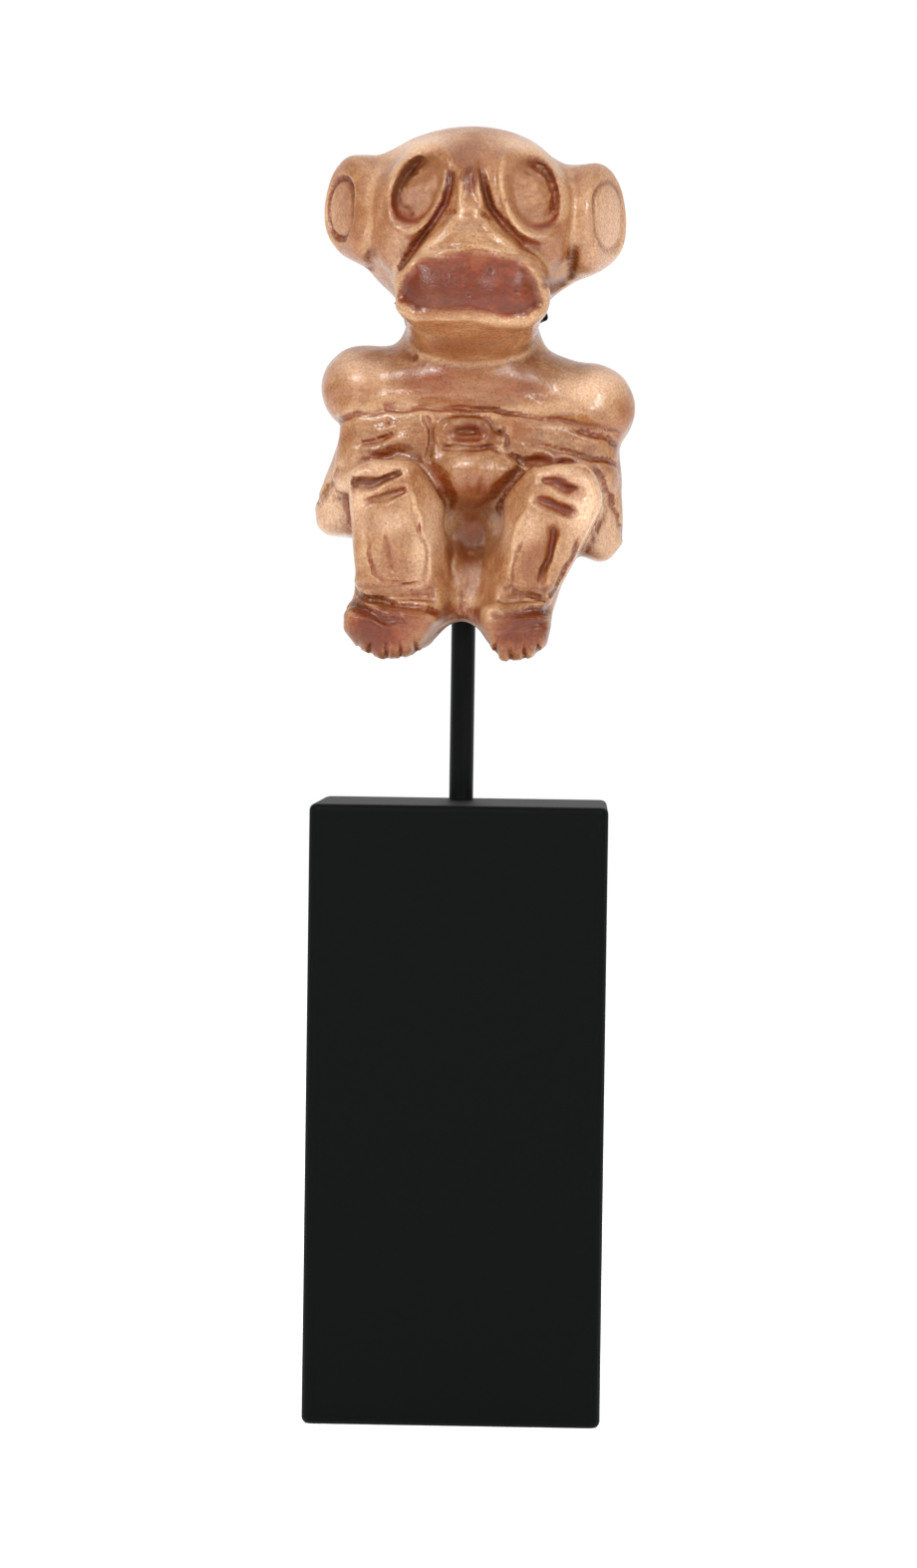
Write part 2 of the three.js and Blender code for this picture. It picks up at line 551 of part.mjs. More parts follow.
// Merges the ends of edges, those that move the surface least first, until few enough triangles are left.
// Each point keeps the sum of its planes as a 4x4 symmetric error matrix.
function thin({ points, faces }, wanted) {
  const errors = points.map(() => new Float64Array(10));
  const around = points.map(() => new Set());
  const normalOf = ([a, b, c], swap = -1, to = null) => {
    const p = (i) => (i === swap ? to : points[i]);
    return cross(minus(p(b), p(a)), minus(p(c), p(a)));
  };
  faces.forEach((face, f) => {
    const raw = normalOf(face);
    const size = Math.hypot(...raw) || 1e-12;
    const [a, b, c] = raw.map((v) => v / size);
    const d = -dot([a, b, c], points[face[0]]);
    const plane = [a * a, a * b, a * c, a * d, b * b, b * c, b * d, c * c, c * d, d * d];
    for (const i of face) {
      around[i].add(f);
      plane.forEach((v, q) => (errors[i][q] += v * size));
    }
  });
  const errorAt = (m, [x, y, z]) =>
    m[0] * x * x + 2 * m[1] * x * y + 2 * m[2] * x * z + 2 * m[3] * x + m[4] * y * y + 2 * m[5] * y * z +
    2 * m[6] * y + m[7] * z * z + 2 * m[8] * z + m[9];
  const stamp = new Int32Array(points.length);
  const queue = new Queue();
  const offer = (u, v) => {
    const m = errors[u].map((w, q) => w + errors[v][q]);
    const middle = points[u].map((w, a) => (w + points[v][a]) / 2);
    const rows = [[m[0], m[1], m[2]], [m[1], m[4], m[5]], [m[2], m[5], m[7]]];
    const right = [-m[3], -m[6], -m[8]];
    const sides = [cross(rows[1], rows[2]), cross(rows[2], rows[0]), cross(rows[0], rows[1])];
    const size = dot(rows[0], sides[0]);
    const tries = [middle, points[u], points[v]];
    const length = Math.hypot(...minus(points[u], points[v]));
    if (Math.abs(size) > 1e-9) {
      const best = [0, 1, 2].map((a) => dot([sides[0][a], sides[1][a], sides[2][a]], right) / size);
      if (Math.hypot(...minus(best, middle)) < length) tries.unshift(best);
    }
    let to = null;
    let cost = Infinity;
    for (const p of tries) {
      const e = errorAt(m, p);
      if (e < cost - 1e-12) {
        cost = e;
        to = [...p];
      }
    }
    queue.push({ cost: cost + 1e-5 * length * length, u, v, to, mark: stamp[u] + stamp[v] });
  };
  const neighbours = (u) => {
    const found = new Set();
    for (const f of around[u]) for (const i of faces[f]) if (i !== u) found.add(i);
    return found;
  };
  faces.forEach((face) => face.forEach((u, i) => u < face[(i + 1) % 3] && offer(u, face[(i + 1) % 3])));
  // How far a face is from a sliver: twice its area over its longest side squared
  const shape = (a, b, c) => {
    const sides = [minus(a, b), minus(b, c), minus(c, a)];
    return length3(...cross(sides[0], sides[1])) / Math.max(...sides.map((e) => dot(e, e)), 1e-12);
  };
  // A face must not turn over, nor become more of a sliver than it is
  const turns = (u, v, to) => {
    for (const f of around[u]) {
      if (faces[f].includes(v)) continue;
      const before = normalOf(faces[f]);
      const after = normalOf(faces[f], u, to);
      if (dot(before, after) < 0.4 * length3(...before) * length3(...after)) return true;
      const now = faces[f].map((i) => points[i]);
      const then = faces[f].map((i) => (i === u ? to : points[i]));
      const best = shape(...then);
      if (best < 0.08 && best < shape(...now)) return true;
    }
    return false;
  };
  let left = faces.length;
  while (left > wanted && queue.heap.length) {
    const { u, v, to, mark } = queue.pop();
    if (!around[u].size || !around[v].size || mark !== stamp[u] + stamp[v]) continue;
    const near = neighbours(v);
    if (!near.has(u)) continue;
    const shared = [...neighbours(u)].filter((i) => near.has(i));
    if (shared.length !== 2 || turns(u, v, to) || turns(v, u, to)) continue;
    points[u] = to;
    for (let q = 0; q < 10; q++) errors[u][q] += errors[v][q];
    for (const f of [...around[v]]) {
      if (faces[f].includes(u)) {
        for (const i of faces[f]) around[i].delete(f);
        faces[f] = null;
        left--;
      } else {
        faces[f] = faces[f].map((i) => (i === v ? u : i));
        around[u].add(f);
      }
    }
    around[v].clear();
    // The stamps of one point only grow, so an entry made before this merge no longer fits
    stamp[u] += 1;
    for (const w of neighbours(u)) offer(u, w);
  }
  return { points, faces: faces.filter(Boolean) };
}

function geometryOf({ points, faces }) {
  const flat = new Float32Array(faces.length * 9);
  faces.forEach((face, f) => face.forEach((i, c) => flat.set(points[i], f * 9 + c * 3)));
  const geometry = new THREE.BufferGeometry();
  geometry.setAttribute("position", new THREE.BufferAttribute(flat, 3));
  return mergeVertices(geometry, 1e-4);
}

// Solids for joining and cutting, and back
function solidOf(geometry) {
  const loose = geometry.index ? geometry.toNonIndexed() : geometry;
  const bare = new THREE.BufferGeometry();
  bare.setAttribute("position", loose.getAttribute("position"));
  const merged = mergeVertices(bare, 1e-4);
  return new wasm.Manifold(
    new wasm.Mesh({
      numProp: 3,
      vertProperties: merged.attributes.position.array,
      triVerts: new Uint32Array(merged.index.array),
    }),
  );
}
function geometryFrom(solid) {
  const { vertProperties, triVerts, numProp } = solid.getMesh();
  const positions = new Float32Array((vertProperties.length / numProp) * 3);
  for (let i = 0; i < positions.length / 3; i++)
    positions.set(vertProperties.subarray(i * numProp, i * numProp + 3), i * 3);
  const geometry = new THREE.BufferGeometry();
  geometry.setAttribute("position", new THREE.BufferAttribute(positions, 3));
  geometry.setIndex(new THREE.BufferAttribute(new Uint32Array(triVerts), 1));
  return geometry;
}

function piece(name, geometry, colour, roughness, metalness) {
  const drawn = geometry.toNonIndexed();
  drawn.computeVertexNormals();
  const mesh = new THREE.Mesh(drawn, new THREE.MeshStandardMaterial({ color: colour, roughness, metalness }));
  mesh.name = name;
  return mesh;
}

// Amulet: one carved piece of bone
const fine = surface(figure, [-22, -21, -2], [24, 12, 72], CELL);
const amulet = geometryOf(thin(fine, FIGURE_TRIANGLES));
amulet.translate(0, 0, FIGURE_Z);

// Rod: stands behind the back, as close to its furthest point as the clearance allows
function backOf(x, z) {
  let y = 14;
  while (y > 0 && figure(x, y, z) > CLEARANCE) y -= 0.05;
  return y;
}
let furthestBack = 0;
for (let z = 4; z <= ROD_TOP + 0.5; z += 0.5)
  for (const side of [-0.5, 0, 0.5]) {
    furthestBack = Math.max(furthestBack, backOf(ROD_X + side * ROD_DIAMETER, z));
  }
const ROD_Y = furthestBack + ROD_DIAMETER / 2;
const ROD_FOOT = BLOCK_HEIGHT - BORE_DEPTH + CLEARANCE;
const rodLength = FIGURE_Z + ROD_TOP - ROD_FOOT;
const ROD_BEVEL = 0.3;
const rodProfile = [
  [0, 0],
  [ROD_DIAMETER / 2 - ROD_BEVEL, 0],
  [ROD_DIAMETER / 2, ROD_BEVEL],
  [ROD_DIAMETER / 2, rodLength - ROD_BEVEL],
  [ROD_DIAMETER / 2 - ROD_BEVEL, rodLength],
  [0, rodLength],
].map(([r, h]) => new THREE.Vector2(r, h));
const rodBar = new THREE.LatheGeometry(rodProfile, 40);
rodBar.rotateX(Math.PI / 2);
rodBar.translate(ROD_X, ROD_Y, ROD_FOOT);

// Yoke: two wires brazed to the rod, bent round the neck; a point of each lies just off the bone
const NECK = [0.5, -0.8];
function besideNeck(degrees, z) {
  const a = (degrees * Math.PI) / 180;
  const off = CLEARANCE + WIRE_DIAMETER / 2;
  const place = (r) => [NECK[0] + r * Math.cos(a), NECK[1] + r * Math.sin(a)];
  let r = 18;
  while (r > 3 && figure(...place(r), z) > off) r -= 0.02;
  return new THREE.Vector3(...place(r), FIGURE_Z + z);
}
const circle = new THREE.Shape();
circle.absarc(0, 0, WIRE_DIAMETER / 2, 0, 2 * Math.PI);
function prong(stations) {
  const start = new THREE.Vector3(ROD_X, ROD_Y, FIGURE_Z + stations[0][1]);
  const beside = stations.map(([angle, z]) => besideNeck(angle, z));
  const path = new THREE.CatmullRomCurve3([start, ...beside], false, "centripetal");
  const run = { extrudePath: path, steps: 22, curveSegments: 5, bevelEnabled: false };
  return new THREE.ExtrudeGeometry(circle, run);
}
const rightProng = prong([[70, 43.6], [58, 43.8], [45, 44.2], [32, 44.8], [19, 45.3]]);
const leftProng = prong([[112, 43.2], [124, 42.8], [137, 42.7], [148, 43.4], [153, 45.2], [155, 47.2]]);
const rod = geometryFrom(solidOf(rodBar).add(solidOf(rightProng)).add(solidOf(leftProng)));

// Block: painted wood with eased edges and a blind hole for the rod
const CORNER = 0.6;
const square = new THREE.Shape();
const middle = BLOCK_SIDE / 2 - BLOCK_EDGE - CORNER;
[[1, 1], [-1, 1], [-1, -1], [1, -1]].forEach(([x, y], quarter) =>
  square.absarc(x * middle, y * middle, CORNER, (quarter * Math.PI) / 2, ((quarter + 1) * Math.PI) / 2),
);
square.closePath();
const bulk = new THREE.ExtrudeGeometry(square, {
  depth: BLOCK_HEIGHT - 2 * BLOCK_EDGE,
  bevelThickness: BLOCK_EDGE,
  bevelSize: BLOCK_EDGE,
  bevelSegments: 3,
  curveSegments: 3,
});
bulk.translate(0, 0, BLOCK_EDGE);
const BORE_RADIUS = ROD_DIAMETER / 2 + CLEARANCE;
const BORE_BOTTOM = BLOCK_HEIGHT - BORE_DEPTH;
const bore = new THREE.CylinderGeometry(BORE_RADIUS, BORE_RADIUS, BORE_DEPTH + 1, 40);
bore.rotateX(Math.PI / 2);
bore.translate(ROD_X, ROD_Y, BORE_BOTTOM + (BORE_DEPTH + 1) / 2);
const block = geometryFrom(solidOf(bulk).subtract(solidOf(bore)));

const stand = new THREE.Group();
stand.name = "amulet_on_stand";
stand.add(piece("amulet", amulet, 0xcf9f78, 0.4, 0));
stand.add(piece("mount_rod", rod, 0x141415, 0.45, 0.2));
stand.add(piece("base_block", block, 0x161617, 0.5, 0));
export default stand;
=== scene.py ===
import math

import bpy
import numpy as np
from mathutils import Matrix, Vector


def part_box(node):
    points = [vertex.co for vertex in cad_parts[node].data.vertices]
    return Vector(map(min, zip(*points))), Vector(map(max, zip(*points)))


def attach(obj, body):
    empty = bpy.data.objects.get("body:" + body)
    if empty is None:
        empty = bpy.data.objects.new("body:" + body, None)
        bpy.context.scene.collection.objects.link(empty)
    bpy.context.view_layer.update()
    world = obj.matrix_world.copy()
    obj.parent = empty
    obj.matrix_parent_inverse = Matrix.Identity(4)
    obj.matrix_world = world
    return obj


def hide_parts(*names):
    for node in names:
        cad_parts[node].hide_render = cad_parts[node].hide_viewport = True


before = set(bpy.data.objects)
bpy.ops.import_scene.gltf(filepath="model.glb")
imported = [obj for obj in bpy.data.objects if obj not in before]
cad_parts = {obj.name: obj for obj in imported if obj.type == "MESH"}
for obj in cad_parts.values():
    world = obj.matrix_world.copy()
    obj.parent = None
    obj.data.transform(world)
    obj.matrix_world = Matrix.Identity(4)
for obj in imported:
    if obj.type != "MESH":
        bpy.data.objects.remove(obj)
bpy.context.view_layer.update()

# Amulet. One piece of bone, cut and drilled with stone tools, ground smooth and polished by long
# handling, so its high spots are pale and glossy while red-brown earth stays in every cut.

# Millimetres from the soles: x to the right, y to the back, z up. Forms are signed distances,
# negative inside, and the carving is drawn in the front view and sunk into them.
MM = 0.001
# The toes end a little above the level of the soles
TOE_RISE = 0.16
FIGURE_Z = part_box("amulet")[0].z / MM - TOE_RISE


def vec(*values):
    return np.array(values, np.float32)


def length(v):
    return np.sqrt((v * v).sum(-1))


def join(a, b, k):
    """The nearer of two forms, blended over k where they meet."""
    h = np.maximum(k - np.abs(a - b), 0) / k
    return np.minimum(a, b) - h * h * k / 4


def meet(a, b, k):
    """What two forms share, rounded over k."""
    return -join(-a, -b, k)


def soft(x, low, high):
    """0 up to low, 1 from high on, and a smooth step between."""
    t = np.clip((x - low) / (high - low), 0, 1)
    return t * t * (3 - 2 * t)


def bell(x, width):
    """1 at 0, dying away over a few widths to either side."""
    return np.exp(-((x / width) ** 2))


def tipped(q, degrees):
    """Front turned down by some degrees."""
    c, s = math.cos(math.radians(degrees)), math.sin(math.radians(degrees))
    return np.stack([q[:, 0], q[:, 1] * c - q[:, 2] * s, q[:, 1] * s + q[:, 2] * c], -1)


def ellipsoid(p, centre, radii, tip=0.0):
    """An egg shape, with its front turned down by tip."""
    q, r = tipped(p - vec(*centre), tip), vec(*radii)
    near = length(q / r)
    return near * (near - 1) / (length(q / r**2) + 1e-6)


def limb(p, a, b, ra, rb, flat=1.0):
    """A round bar from a to b, thinner to and fro by the factor flat."""
    a, b = vec(*a), vec(*b)
    h = np.clip((p - a) @ (b - a) / ((b - a) @ (b - a)), 0, 1)
    return length((p - a - h[:, None] * (b - a)) * vec(1, flat, 1)) - (ra + (rb - ra) * h)


def slab(p, centre, half, r, tip=0.0):
    """A block with its edges rounded to r, and its front turned down by tip."""
    q = np.abs(tipped(p - vec(*centre), tip)) - (vec(*half) - r)
    return length(np.maximum(q, 0)) + np.minimum(q.max(-1), 0) - r


def outline(u, v, points, r):
    """Signed distance in the front view from an outline grown by r."""
    best = np.full(u.shape, 1e9, np.float32)
    side = np.ones(u.shape, np.float32)
    for i, (ax, az) in enumerate(points):
        ex, ez = points[i - 1][0] - ax, points[i - 1][1] - az
        wx, wz = u - ax, v - az
        h = np.clip((wx * ex + wz * ez) / (ex * ex + ez * ez), 0, 1)
        best = np.minimum(best, (wx - ex * h) ** 2 + (wz - ez * h) ** 2)
        above, below, left = v >= az, v < points[i - 1][1], ex * wz > ez * wx
        side = np.where((above & below & left) | (~above & ~below & ~left), -side, side)
    return side * np.sqrt(best) - r


def pad(p, points, r, front, back, k, bow=0.0):
    """A form cut to a front outline, its front and back faces rounded over by k."""
    half = (back - front) / 2 - bow * p[:, 0] ** 2
    return meet(outline(p[:, 0], p[:, 2], points, r), np.abs(p[:, 1] - (front + back) / 2) - half, k)


def oval(u, v, centre, half, lean=0.0, power=2.0):
    """0 in the middle of a leaned oval, 1 on its rim."""
    c, s = math.cos(math.radians(lean)), math.sin(math.radians(lean))
    du, dv = u - centre[0], v - centre[1]
    a, b = np.abs((du * c - dv * s) / half[0]), np.abs((du * s + dv * c) / half[1])
    return (a**power + b**power) ** (1 / power)


def stroke(u, v, points, width, fade, tail):
    """How far across a drawn line each point is (0 on it, 1 on its edge), and the line's strength there,
    which runs out at both ends. A pair as the width goes from the first to the second along the line."""
    best = np.full(u.shape, 1e9, np.float32)
    along = np.zeros(u.shape, np.float32)
    last = len(points) - 1
    for i in range(last):
        (ax, az), (bx, bz) = points[i], points[i + 1]
        ex, ez = bx - ax, bz - az
        h = np.clip(((u - ax) * ex + (v - az) * ez) / (ex * ex + ez * ez), 0, 1)
        d = np.hypot(u - ax - h * ex, v - az - h * ez)
        along = np.where(d < best, (i + h) / last, along)
        best = np.minimum(best, d)
    wide = width[0] + (width[1] - width[0]) * along if isinstance(width, tuple) else width
    return best / (wide / 2), soft(along, -0.02, fade) * (1 - soft(along, 1 - tail, 1.02))


# The two sides differ a little, as hand carving does. s is -1 for the left of the picture, 1 for the right.
LEFT = dict(
    s=-1,
    ear=(-12.5, -2.3, 57.7), ear_half=(5.1, 5.7, 7.7), under=(-12.5, 49.7),
    disc=((-0.1, 0.7), (3.7, 4.2), 4), disc_depth=0.9,
    eye=(-6.5, 60.6), eye_half=(3.1, 5), eye_lean=22, eye_depth=(1.2, 0.8),
    deltoid=((-13.6, 0.3, 35.4), (5.5, 6.6, 5.4)),
    arm=[(-14.2, 29), (-17.6, 19.8), (-17.5, 18.4), (-12, 18), (-12, 28)],
    leg=[(-12.5, 22.6), (-11.2, 23.2), (-7.8, 23.1), (-5, 19), (-4.2, 14), (-4.6, 8), (-5.6, 5.5),
         (-12, 5.5), (-11.3, 11), (-11.9, 18)],
    shin_edge=(-5.2, -0.13, 13),
    foot=[(-14, 6.5), (-14, 4.2), (-12.7, 2.5), (-10.2, 1.3), (-7.6, 1.6), (-5.4, 3.2), (-4, 5.2),
          (-4.8, 7)],
)
RIGHT = dict(
    s=1,
    ear=(14, -2.3, 56.8), ear_half=(5, 5.8, 7.9), under=(16, 49.6),
    disc=((-0.1, 1), (4, 4.7), -4), disc_depth=0.5,
    eye=(8.4, 60.2), eye_half=(3.3, 5.1), eye_lean=-16, eye_depth=(0.8, 0.7),
    deltoid=((15.9, 0.3, 33.2), (5.9, 6.6, 5.7)),
    arm=[(17.5, 28.5), (18, 23), (18.3, 16.5), (17.5, 15.4), (12, 17.5), (12, 28)],
    leg=[(9.8, 22.6), (12, 22.9), (14.6, 22.6), (15.2, 21), (13.1, 16.6), (10.3, 11.5), (8.6, 6),
         (4.6, 5.5), (5.2, 9), (6.6, 15), (7.6, 20)],
    shin_edge=(5.2, 0.25, 9.4),
    foot=[(3.2, 6.5), (3.3, 4.6), (4.3, 2.4), (5.6, 1.3), (8.3, 1.6), (9.7, 2.9), (10, 4.4), (9.9, 7)],
)
SIDES = (LEFT, RIGHT)
# Ears are thick oval spools, turned this far outward, with their rims rounded. The plane that pares their
# undersides away leans by UNDER_SLOPE.
EAR_YAW = math.radians(60)
EAR_ROUND = 2.4
UNDER_SLOPE = (0.52, 0.854)


def head(p):
    """A dome over broad cheeks, and a low muzzle that stands well forward."""
    dome = ellipsoid(p, (0.1, -1.2, 61), (12.6, 11.8, 8.5))
    cheeks = slab(p, (0.2, -1.6, 56.8), (12.7, 11, 7.4), 5)
    jaw = ellipsoid(p, (0.4, -1.4, 51.2), (12.6, 10, 6))
    throat = ellipsoid(p, (0.5, -1.5, 48.6), (10, 9, 7))
    muzzle = slab(p, (0.7, -10.4, 47.7), (9.7, 8.2, 5.2), 4.4, -5)
    chin = ellipsoid(p, (0.6, -6.8, 42.9), (8.2, 7.4, 4.4))
    upper_lip = ellipsoid(p, (0.2, -10.2, 52.6), (6.6, 7, 5.6), -14)
    d = join(dome, cheeks, 1.5)
    d = join(join(d, jaw, 1.5), throat, 1.5)
    d = join(join(d, muzzle, 1.6), chin, 2)
    return join(d, upper_lip, 2.2)


def spool_axes(p, side):
    """Across an ear's face, outward from the head (negative) and up."""
    q = p - vec(*side["ear"])
    c, s = math.cos(side["s"] * EAR_YAW), math.sin(side["s"] * EAR_YAW)
    return q[:, 0] * c + q[:, 1] * s, q[:, 1] * c - q[:, 0] * s, q[:, 2]


def spool(p, side):
    across, out, up = spool_axes(p, side)
    deep, wide, tall = side["ear_half"]
    radial = (np.hypot(across / wide, up / tall) - 1) * min(wide, tall) + EAR_ROUND
    axial = np.abs(out) - deep + EAR_ROUND
    beyond = np.hypot(np.maximum(radial, 0), np.maximum(axial, 0))
    d = beyond + np.minimum(np.maximum(radial, axial), 0) - EAR_ROUND
    lean_x, lean_z = UNDER_SLOPE
    under = (p[:, 0] - side["under"][0]) * side["s"] * lean_x - (p[:, 2] - side["under"][1]) * lean_z
    return meet(d, under, 3)


def torso(p):
    """The broad bar of the shoulders, with a short neck."""
    d = limb(p, (-13.2, 0.3, 35.3), (15.6, 0.3, 33.2), 5.2, 5.6, 0.78)
    for side in SIDES:
        d = join(d, ellipsoid(p, *side["deltoid"]), 1.5)
    chest = ellipsoid(p, (0.6, -0.2, 36.6), (13, 8.9, 5.6))
    neck = ellipsoid(p, (0.5, -0.8, 41.5), (9, 7.8, 7))
    return join(join(d, chest, 3), neck, 2.2)


WAIST = [(-14.3, 31.5), (-14.6, 28.5), (-15.6, 23.5), (17.8, 23.5), (17.5, 27.8), (18.6, 31.5)]
SEAT = [(-8.5, 22), (-10, 14), (-9.6, 8.5), (-6.5, 5), (5.2, 5), (7.6, 8.5), (9.6, 15), (11, 22)]
WEB = [(-5, 14), (-6, 4), (5, 4), (4.5, 14)]


def trunk(p):
    waist = pad(p, WAIST, 2, -8.4, 7.9, 3, 0.009)
    belly = ellipsoid(p, (1.4, -4.4, 24.6), (6.8, 5.4, 4.4), 10)
    seat = pad(p, SEAT, 2.8, -5.4, 7.9, 4, 0.02)
    return join(join(waist, belly, 1), seat, 2.5)


def leg(p, side):
    """The shin is a flat, leaning plane, and the inside of the thigh slopes away from it."""
    x, y, z = p[:, 0], p[:, 1], p[:, 2]
    plane = -14.6 + 0.13 * (22 - z) - y
    edge, slant, level = side["shin_edge"]
    inner = -side["s"] * (x - edge - slant * (z - level)) * 0.79 - (y + 14) * 0.613
    d = meet(meet(pad(p, side["leg"], 2.6, -14.6, 3, 3), plane, 2.4), inner, 1.1)
    return join(d, pad(p, side["foot"], 1.2, -15, -4, 2.6), 0.8)


def body(p):
    d = join(torso(p), trunk(p), 0.5)
    for side in SIDES:
        d = join(d, pad(p, side["arm"], 2.2, -2.4, 6, 3.2), 0.8)
    top = head(p)
    for side in SIDES:
        top = join(top, spool(p, side), 1.9)
    d = join(d, top, 1.6)
    legs = join(leg(p, LEFT), leg(p, RIGHT), 1)
    web = pad(p, WEB, 1.6, -8.6, 2, 2.5)
    arch = (1 - oval(p[:, 0], p[:, 2], (-0.5, -1.5), (4.4, 6.8))) * 4.4
    return meet(join(join(d, legs, 0.7), web, 3), arch, 1.8)


NOSE_LEFT = [(-2.2, 63.2), (-2.4, 60.9), (-3, 58.6), (-4.7, 55.7), (-6.8, 52.8), (-8.3, 50.2), (-8.7, 48.4)]
NOSE_RIGHT = [(1.3, 64.3), (2, 60.9), (2.9, 58), (4.8, 55.5), (6.6, 53.9), (7.6, 52.4)]
MOUTH = [(-7.4, 46.4), (-7, 48.2), (-5, 50.4), (0.3, 51.2), (5.8, 50.4), (8, 48), (8.5, 46),
         (7.2, 45), (4.6, 44.9), (0.6, 45.6), (-3, 45.5), (-6.2, 45.5)]
# Cut lines as (points, width, depth, how red, fade, tail)
FACE_LINES = [
    (NOSE_LEFT, 1.5, 0.8, 1.35, 0.08, 0.35),
    (NOSE_RIGHT, 1.4, 0.75, 1.25, 0.1, 0.5),
    ([(-1.4, 56.8), (-3.6, 54.4), (-6.6, 51.8)], 2, -0.4, 0, 0.2, 0.4),
    ([(1.7, 56.6), (3.6, 54.4), (6.8, 52.4)], 1.8, -0.4, 0, 0.2, 0.4),
    ([(-5.2, 52.2), (-2.4, 52.6), (0.6, 52.4), (4, 51.9), (7.2, 51.6)], 0.7, 0.15, 0.6, 0.2, 0.2),
    ([(9.3, 47.6), (10.8, 48.6), (13, 49.6)], 1.4, 0.35, 0.75, 0.2, 0.2),
    ([(-3.2, 57), (-2.2, 57.4), (-1.2, 57.2)], 0.9, 0.3, 0.7, 0.2, 0.2),
    ([(1.4, 57), (2.4, 56.9), (3.2, 56.4)], 0.9, 0.3, 0.7, 0.2, 0.2),
    ([(-0.9, 62), (-1, 60), (-1.1, 57.4)], 1, -0.3, 0, 0.3, 0.3),
    ([(1.2, 62.4), (1.4, 60), (1.9, 57.6)], 1.1, -0.35, 0, 0.3, 0.3),
    ([(0.2, 63), (0.2, 60.6), (0.3, 58.6)], 1, 0.2, 0.2, 0.3, 0.4),
    ([(1.6, 62.6), (2, 60.4), (2.5, 57.8)], 0.7, 0.25, 0.7, 0.2, 0.2),
]
SEAM_LINES = [
    ([(-12.4, 55), (-12.6, 52.6), (-12.7, 50.5)], 1.8, 0.2, 0.3, 0.5, 0.05),
    ([(13.5, 54.6), (13.4, 52), (12.9, 49.4)], 2, 0.2, 0.65, 0.4, 0.1),
    ([(16.2, 62.3), (16.1, 56), (15.8, 50.4)], 0.7, 0.12, 0.35, 0.2, 0.2),
]
CHEST_LINE = [(-17, 30.6), (-14.8, 31.6), (-8.7, 32.3), (-3.5, 32.6), (1.6, 32.6), (6.7, 31.9),
              (11.9, 31.3), (17.1, 30.5), (21.5, 29.6)]
BAND_LINES = [
    (CHEST_LINE, 0.9, 0.2, 0.6, 0.02, 0.02),
    ([(cx, cz + 1.5) for cx, cz in CHEST_LINE], 3.4, -0.35, 0, 0.02, 0.02),
    ([(-14, 26.2), (-9.5, 28.2), (-6, 29)], 2.6, -0.3, 0, 0.2, 0.2),
    ([(-12.4, 29), (-9, 30.2), (-6, 30.6)], 2, -0.25, 0, 0.3, 0.2),
    ([(6.8, 27.6), (13, 26.4), (20, 24.4)], 2.2, -0.3, 0, 0.2, 0.1),
    ([(6.6, 30.2), (12, 29.6), (18, 28)], 2.8, -0.25, 0, 0.2, 0.1),
    ([(-5.4, 31.6), (-4.7, 29.8), (-4.5, 27.4), (-5, 25.6)], 1.4, 0.68, 0.76, 0.1, 0.1),
    ([(2.6, 31), (4.1, 29.8), (5.2, 28.7), (5.4, 27.5), (6.8, 25.9), (10.1, 25.3)], 1, 0.45, 0.8, 0.1, 0.1),
    ([(5.3, 30.3), (4.2, 29.6)], 0.8, 0.5, 0.76, 0.1, 0.1),
    ([(-14.6, 27.5), (-11.8, 28.4), (-8.7, 29.8)], 0.9, 0.3, 0.35, 0.3, 0.3),
    ([(-13.6, 26.8), (-10.2, 26.2), (-6, 27.2)], 0.9, 0.25, 0.35, 0.3, 0.3),
    ([(7.3, 28.7), (10, 27.7), (13.9, 27), (17.1, 26.3), (20.4, 25.3)], 1, 0.37, 0.57, 0.1, 0.05),
    ([(13.8, 30.4), (17.1, 29.3), (20.4, 28)], 1, 0.43, 0.57, 0.2, 0.05),
    ([(5.8, 26.6), (9.4, 25.9), (14.5, 25.6)], 0.9, 0.3, 0.7, 0.1, 0.2),
    ([(-3.4, 27.6), (0.4, 27.4), (3, 27.7), (4.6, 26.8)], 1.1, 0.43, 0.76, 0.1, 0.1),
]
